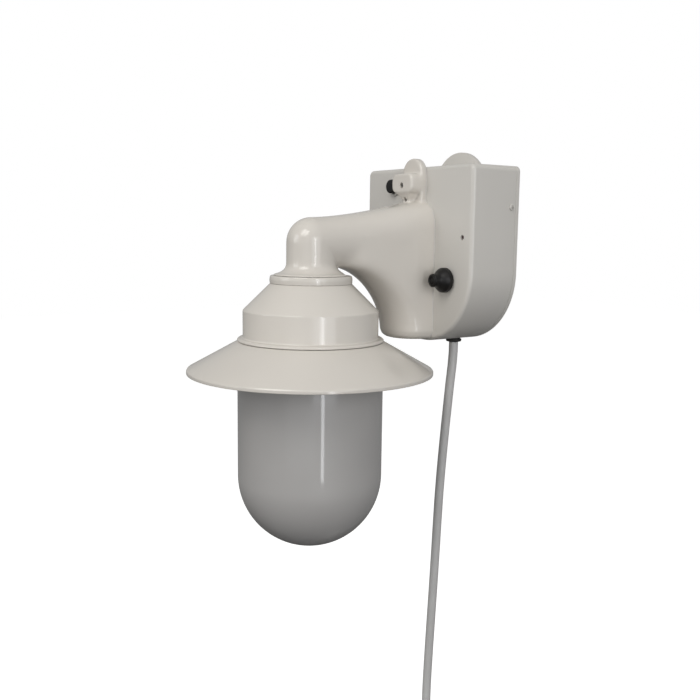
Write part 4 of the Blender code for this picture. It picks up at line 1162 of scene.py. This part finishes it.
# %% Lay the cord
cord_data = bpy.data.curves.new("supply_cord_run", "CURVE")
cord_data.dimensions = "3D"
cord_data.bevel_depth = CORD_DIAMETER / 2
cord_data.bevel_resolution = 5
cord_data.use_fill_caps = True
spline = cord_data.splines.new("POLY")
spline.points.add(len(route) - 1)
for target, point in zip(spline.points, route):
    target.co = (*point, 1)
cord = bpy.data.objects.new("supply_cord_run", cord_data)
bpy.context.scene.collection.objects.link(cord)
dress(cord, cord_sleeve, "lamp", "cord_sleeve", "supply_cord", "cord_coil", "cord_tail")

# %% [markdown]
# A rubber grommet lines the hole in the box, so that its edge can't cut the
# cord. It is turned, with a flange below and a groove that the wall sits in.
# Its black is partly that of rubber and partly painted shade: the dark flange
# stands for the shadow along the box's bottom rim at the cord.

# %% Grommet at the box
grommet = turn(
    "cord_grommet_sleeve",
    rounded(
        [
            (4.25, -76.6, 0.4), (6.6, -76.6, 0.7), (7.0, -74.3, 0.4), (5.6, -74.3, 0.1),
            (5.6, -68.0, 0.3), (4.9, -58.6, 0.3), (4.25, -58.6, 0.1),
        ]
    ),
    (CORD_EXIT[0], CORD_EXIT[1], 0),
    sides=48,
)
# Black rubber, whose dark flange also serves as painted shade along the box's bottom rim.
dress(grommet, rubber, "lamp", "rubber", "cord_grommet")

# %% [markdown]
# The strap is a small plastic band with a square head. It starts as a block
# round the coil's section, a second block opens it, and the head is joined on.
# Last it is turned to its place on the coil.

# %% Strap round the coil
STRAP_LOW, STRAP_HIGH = Vector((-3.0, -13.8, 34.4)) * MM, Vector((3.0, 17.9, 52.9)) * MM
STRAP_WALL = 1.1 * MM
strap = brick(STRAP_LOW, STRAP_HIGH)
edit()
ease(crossing(0), 3.6, 6)
strap = done("coil_strap")
brick(
    (-9 * MM, STRAP_LOW.y + STRAP_WALL, STRAP_LOW.z + STRAP_WALL),
    (9 * MM, STRAP_HIGH.y - STRAP_WALL, STRAP_HIGH.z - STRAP_WALL),
)
edit()
ease(crossing(0), 2.6, 6)
carve(strap, done("strap_opening"))
brick(
    (-3.6 * MM, STRAP_LOW.y - 2.6 * MM, 41 * MM), (3.6 * MM, STRAP_LOW.y + 0.6 * MM, 47 * MM)
)
edit()
ease(lambda e: True, 0.7, 2)
unite(strap, done("strap_head"))
activate(strap)
strap.rotation_euler = (0, radians(62), 0)
strap.location = COIL_CENTRE * MM
strap = done("coil_strap")
dress(strap, pvc_black, "lamp", "black_plastic", "cord_tie")

# %% [markdown]
# The plug is moulded on the cord. Its body is a block that narrows upwards,
# with four grooves on each side for the fingers, and a ribbed sleeve above it
# that bends with the cord and stops it from kinking.

# %% Mould the plug's body
plug_low, plug_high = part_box("plug_body")
plug_middle = (plug_low + plug_high) / 2
body_top = plug_low.z + 32 * MM
plug = brick(plug_low, (plug_high.x, plug_high.y, body_top))
edit()
pick(lambda v: v.co.z > body_top - 1e-6)
top_centre = (plug_middle.x, plug_middle.y, body_top)
bpy.ops.transform.resize(value=(0.72, 0.8, 1), center_override=top_centre)
ease(crossing(2), 5.0, 6)
ease(level, 1.6, 4)
plug = done("plug_moulding")
print("plug body", len(plug.data.polygons), "faces")

# %% Ribbed sleeve and finger grooves
sleeve_foot, sleeve_top = body_top / MM, plug_high.z / MM
sleeve_outline = [(0, sleeve_foot - 3), (8.2, sleeve_foot - 3), (8.2, sleeve_foot + 1.5)]
for i in range(5):
    start = sleeve_foot + 2.6 + i * 3.9
    radius = 7.4 - i * 0.62
    sleeve_outline += [
        (radius - 0.9, start, 0.3),
        (radius - 0.9, start + 1.3, 0.3),
        (radius, start + 1.7, 0.3),
        (radius, start + 3.4, 0.3),
    ]
sleeve_outline = rounded(sleeve_outline + [(4.5, sleeve_top), (0, sleeve_top)])
sleeve_place = (plug_middle.x, plug_middle.y, 0)
unite(plug, turn("plug_sleeve", sleeve_outline, sleeve_place, sides=48, closed=False))
for side in (-1, 1):
    for i in range(4):
        at = (plug_middle.x, plug_middle.y + side * 11.4 * MM, plug_low.z + (9 + 4 * i) * MM)
        carve(plug, drum(at, 0.8, 15, "right"))
smooth(plug, 35)
dress(plug, cord_sleeve, "lamp", "cord_sleeve", "plug_body")

# %% [markdown]
# ## Parts that keep their CAD shape
# The gaskets, nuts, wires and the works inside the box and the canopy are
# already right. They only need the finish of what they are made of.

# %% Dress the other parts
CARRIED = {
    pale_rubber: ("box_gasket",),
    rubber: ("globe_gasket",),
    zinc_steel: (
        "arm_screw_root", "arm_nut_top", "dimmer_nut", "dimmer_shaft", "clamp_screw_left",
        "clamp_screw_right", "threaded_nipple", "nipple_nut", "shade_ring_nut",
    ),
    nylon: ("dimmer_body", "button_switch", "cord_clamp"),
    brass: (
        "terminal_screw_1", "terminal_screw_2", "terminal_screw_3", "screw_shell",
        "centre_contact", "bulb_cap", "plug_blade_left", "plug_blade_right", "plug_earth_pin",
    ),
    porcelain: ("terminal_block", "lampholder"),
    etched_glass: ("bulb_glass",),
    lens: ("pilot_lamp",),
    cord_sleeve: ("cord_lead_in",),
    pvc_black: ("supply_wire_live", "lamp_wire_live"),
    pvc_white: ("supply_wire_neutral", "lamp_wire_neutral"),
}
for material, nodes in CARRIED.items():
    for node in nodes:
        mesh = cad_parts[node].data
        mesh.materials.clear()
        mesh.materials.append(material)
print(sum(len(nodes) for nodes in CARRIED.values()), "parts keep their CAD shape")

# %% [markdown]
# ## Floor, light and background
# A plain pale floor of matt paint lies below the plug. It glows a little, and
# neither lights the lamp nor shows in its gloss, so the lamp stands before an
# even ground.

# %% Floor
deselect_all()
FLOOR_SIZE, FLOOR_GAP = 12, 0.02  # metres
bpy.ops.mesh.primitive_plane_add(size=FLOOR_SIZE, location=(0, 0, cad_box[0][2] - FLOOR_GAP))
floor = done("floor")
floor_paint, floor_tree, floor_shader, floor_place = new_finish("matt_floor_paint")
floor_noise = add_node(floor_tree, "ShaderNodeTexNoise", {"Vector": floor_place, "Scale": 3.0})
floor_ramp = add_node(floor_tree, "ShaderNodeValToRGB", {"Fac": floor_noise.outputs["Fac"]})
floor_ramp.color_ramp.elements[0].color = linear("#f2f2f0")
floor_ramp.color_ramp.elements[1].color = linear("#f8f8f6")
floor_tree.links.new(floor_ramp.outputs["Color"], floor_shader.inputs["Base Color"])
floor_shader.inputs["Roughness"].default_value = 0.9
floor_shader.inputs["Emission Color"].default_value = linear("#ffffff")
floor_shader.inputs["Emission Strength"].default_value = 0.6
floor.data.materials.append(floor_paint)
floor.visible_diffuse = False
floor.visible_glossy = False
print(f"floor at {cad_box[0][2] - FLOOR_GAP:.3f} m")

# %% [markdown]
# Large soft lights stand above, in front and to the right, and a weak one low
# down lifts the undersides. A tall narrow strip at the right draws the thin
# upright highlight that glass shows in a studio.


# %% Lights
def soft_light(name, place, aim, size, watts, colour="#ffffff"):
    data = bpy.data.lights.new(name, "AREA")
    data.shape = "RECTANGLE"
    data.size, data.size_y = size
    data.energy = watts
    data.color = linear(colour)[:3]
    light = bpy.data.objects.new(name, data)
    light.location = place
    light.rotation_euler = (Vector(aim) - Vector(place)).to_track_quat("-Z", "Y").to_euler()
    bpy.context.scene.collection.objects.link(light)
    return light


HEART = (0, -0.10, -0.04)
soft_light("key", (0.50, -1.45, 1.30), HEART, (1.0, 0.9), 13, "#fffdf9")
soft_light("front", (-0.60, -2.05, 0.50), HEART, (0.9, 0.9), 6.4, "#fbfcff")
soft_light("strip", (1.85, -0.57, 0.02), (0, -0.157, 0.02), (0.16, 1.54), 5.6, "#fbfcff")
soft_light("side", (1.9, -0.45, 0.20), HEART, (1.3, 1.3), 9, "#fbfcff")
soft_light("low", (1.2, -1.4, -0.10), HEART, (1.4, 1.1), 1.6, "#fbfcff")
print(len(bpy.data.lights), "lights")

# %% [markdown]
# The world is bright above and dim below, because nothing under the lamp throws
# light back on it. The camera sees plain white instead.

# %% Background
world = bpy.data.worlds.new("studio")
bpy.context.scene.world = world
world.use_nodes = True
sky_tree = world.node_tree
sky = sky_tree.nodes["Background"]
sky_place = add_node(sky_tree, "ShaderNodeTexCoord").outputs["Generated"]
height = add_node(sky_tree, "ShaderNodeSeparateXYZ", {"Vector": sky_place})
lift = add_node(
    sky_tree,
    "ShaderNodeMapRange",
    {"Value": height.outputs["Z"], "From Min": -0.6, "From Max": 0.3},
)
shades = add_node(sky_tree, "ShaderNodeValToRGB", {"Fac": lift.outputs[0]})
shades.color_ramp.elements[0].color = (0.06, 0.06, 0.06, 1)
shades.color_ramp.elements[1].color = (0.46, 0.46, 0.46, 1)
sky_tree.links.new(shades.outputs["Color"], sky.inputs["Color"])
backdrop = add_node(sky_tree, "ShaderNodeBackground", {"Color": (1, 1, 1, 1), "Strength": 1.0})
seen = add_node(sky_tree, "ShaderNodeLightPath").outputs["Is Camera Ray"]
mix = add_node(
    sky_tree, "ShaderNodeMixShader", {0: seen, 1: sky.outputs[0], 2: backdrop.outputs[0]}
)
sky_tree.links.new(mix.outputs[0], sky_tree.nodes["World Output"].inputs["Surface"])
bpy.context.scene.view_settings.view_transform = "Standard"
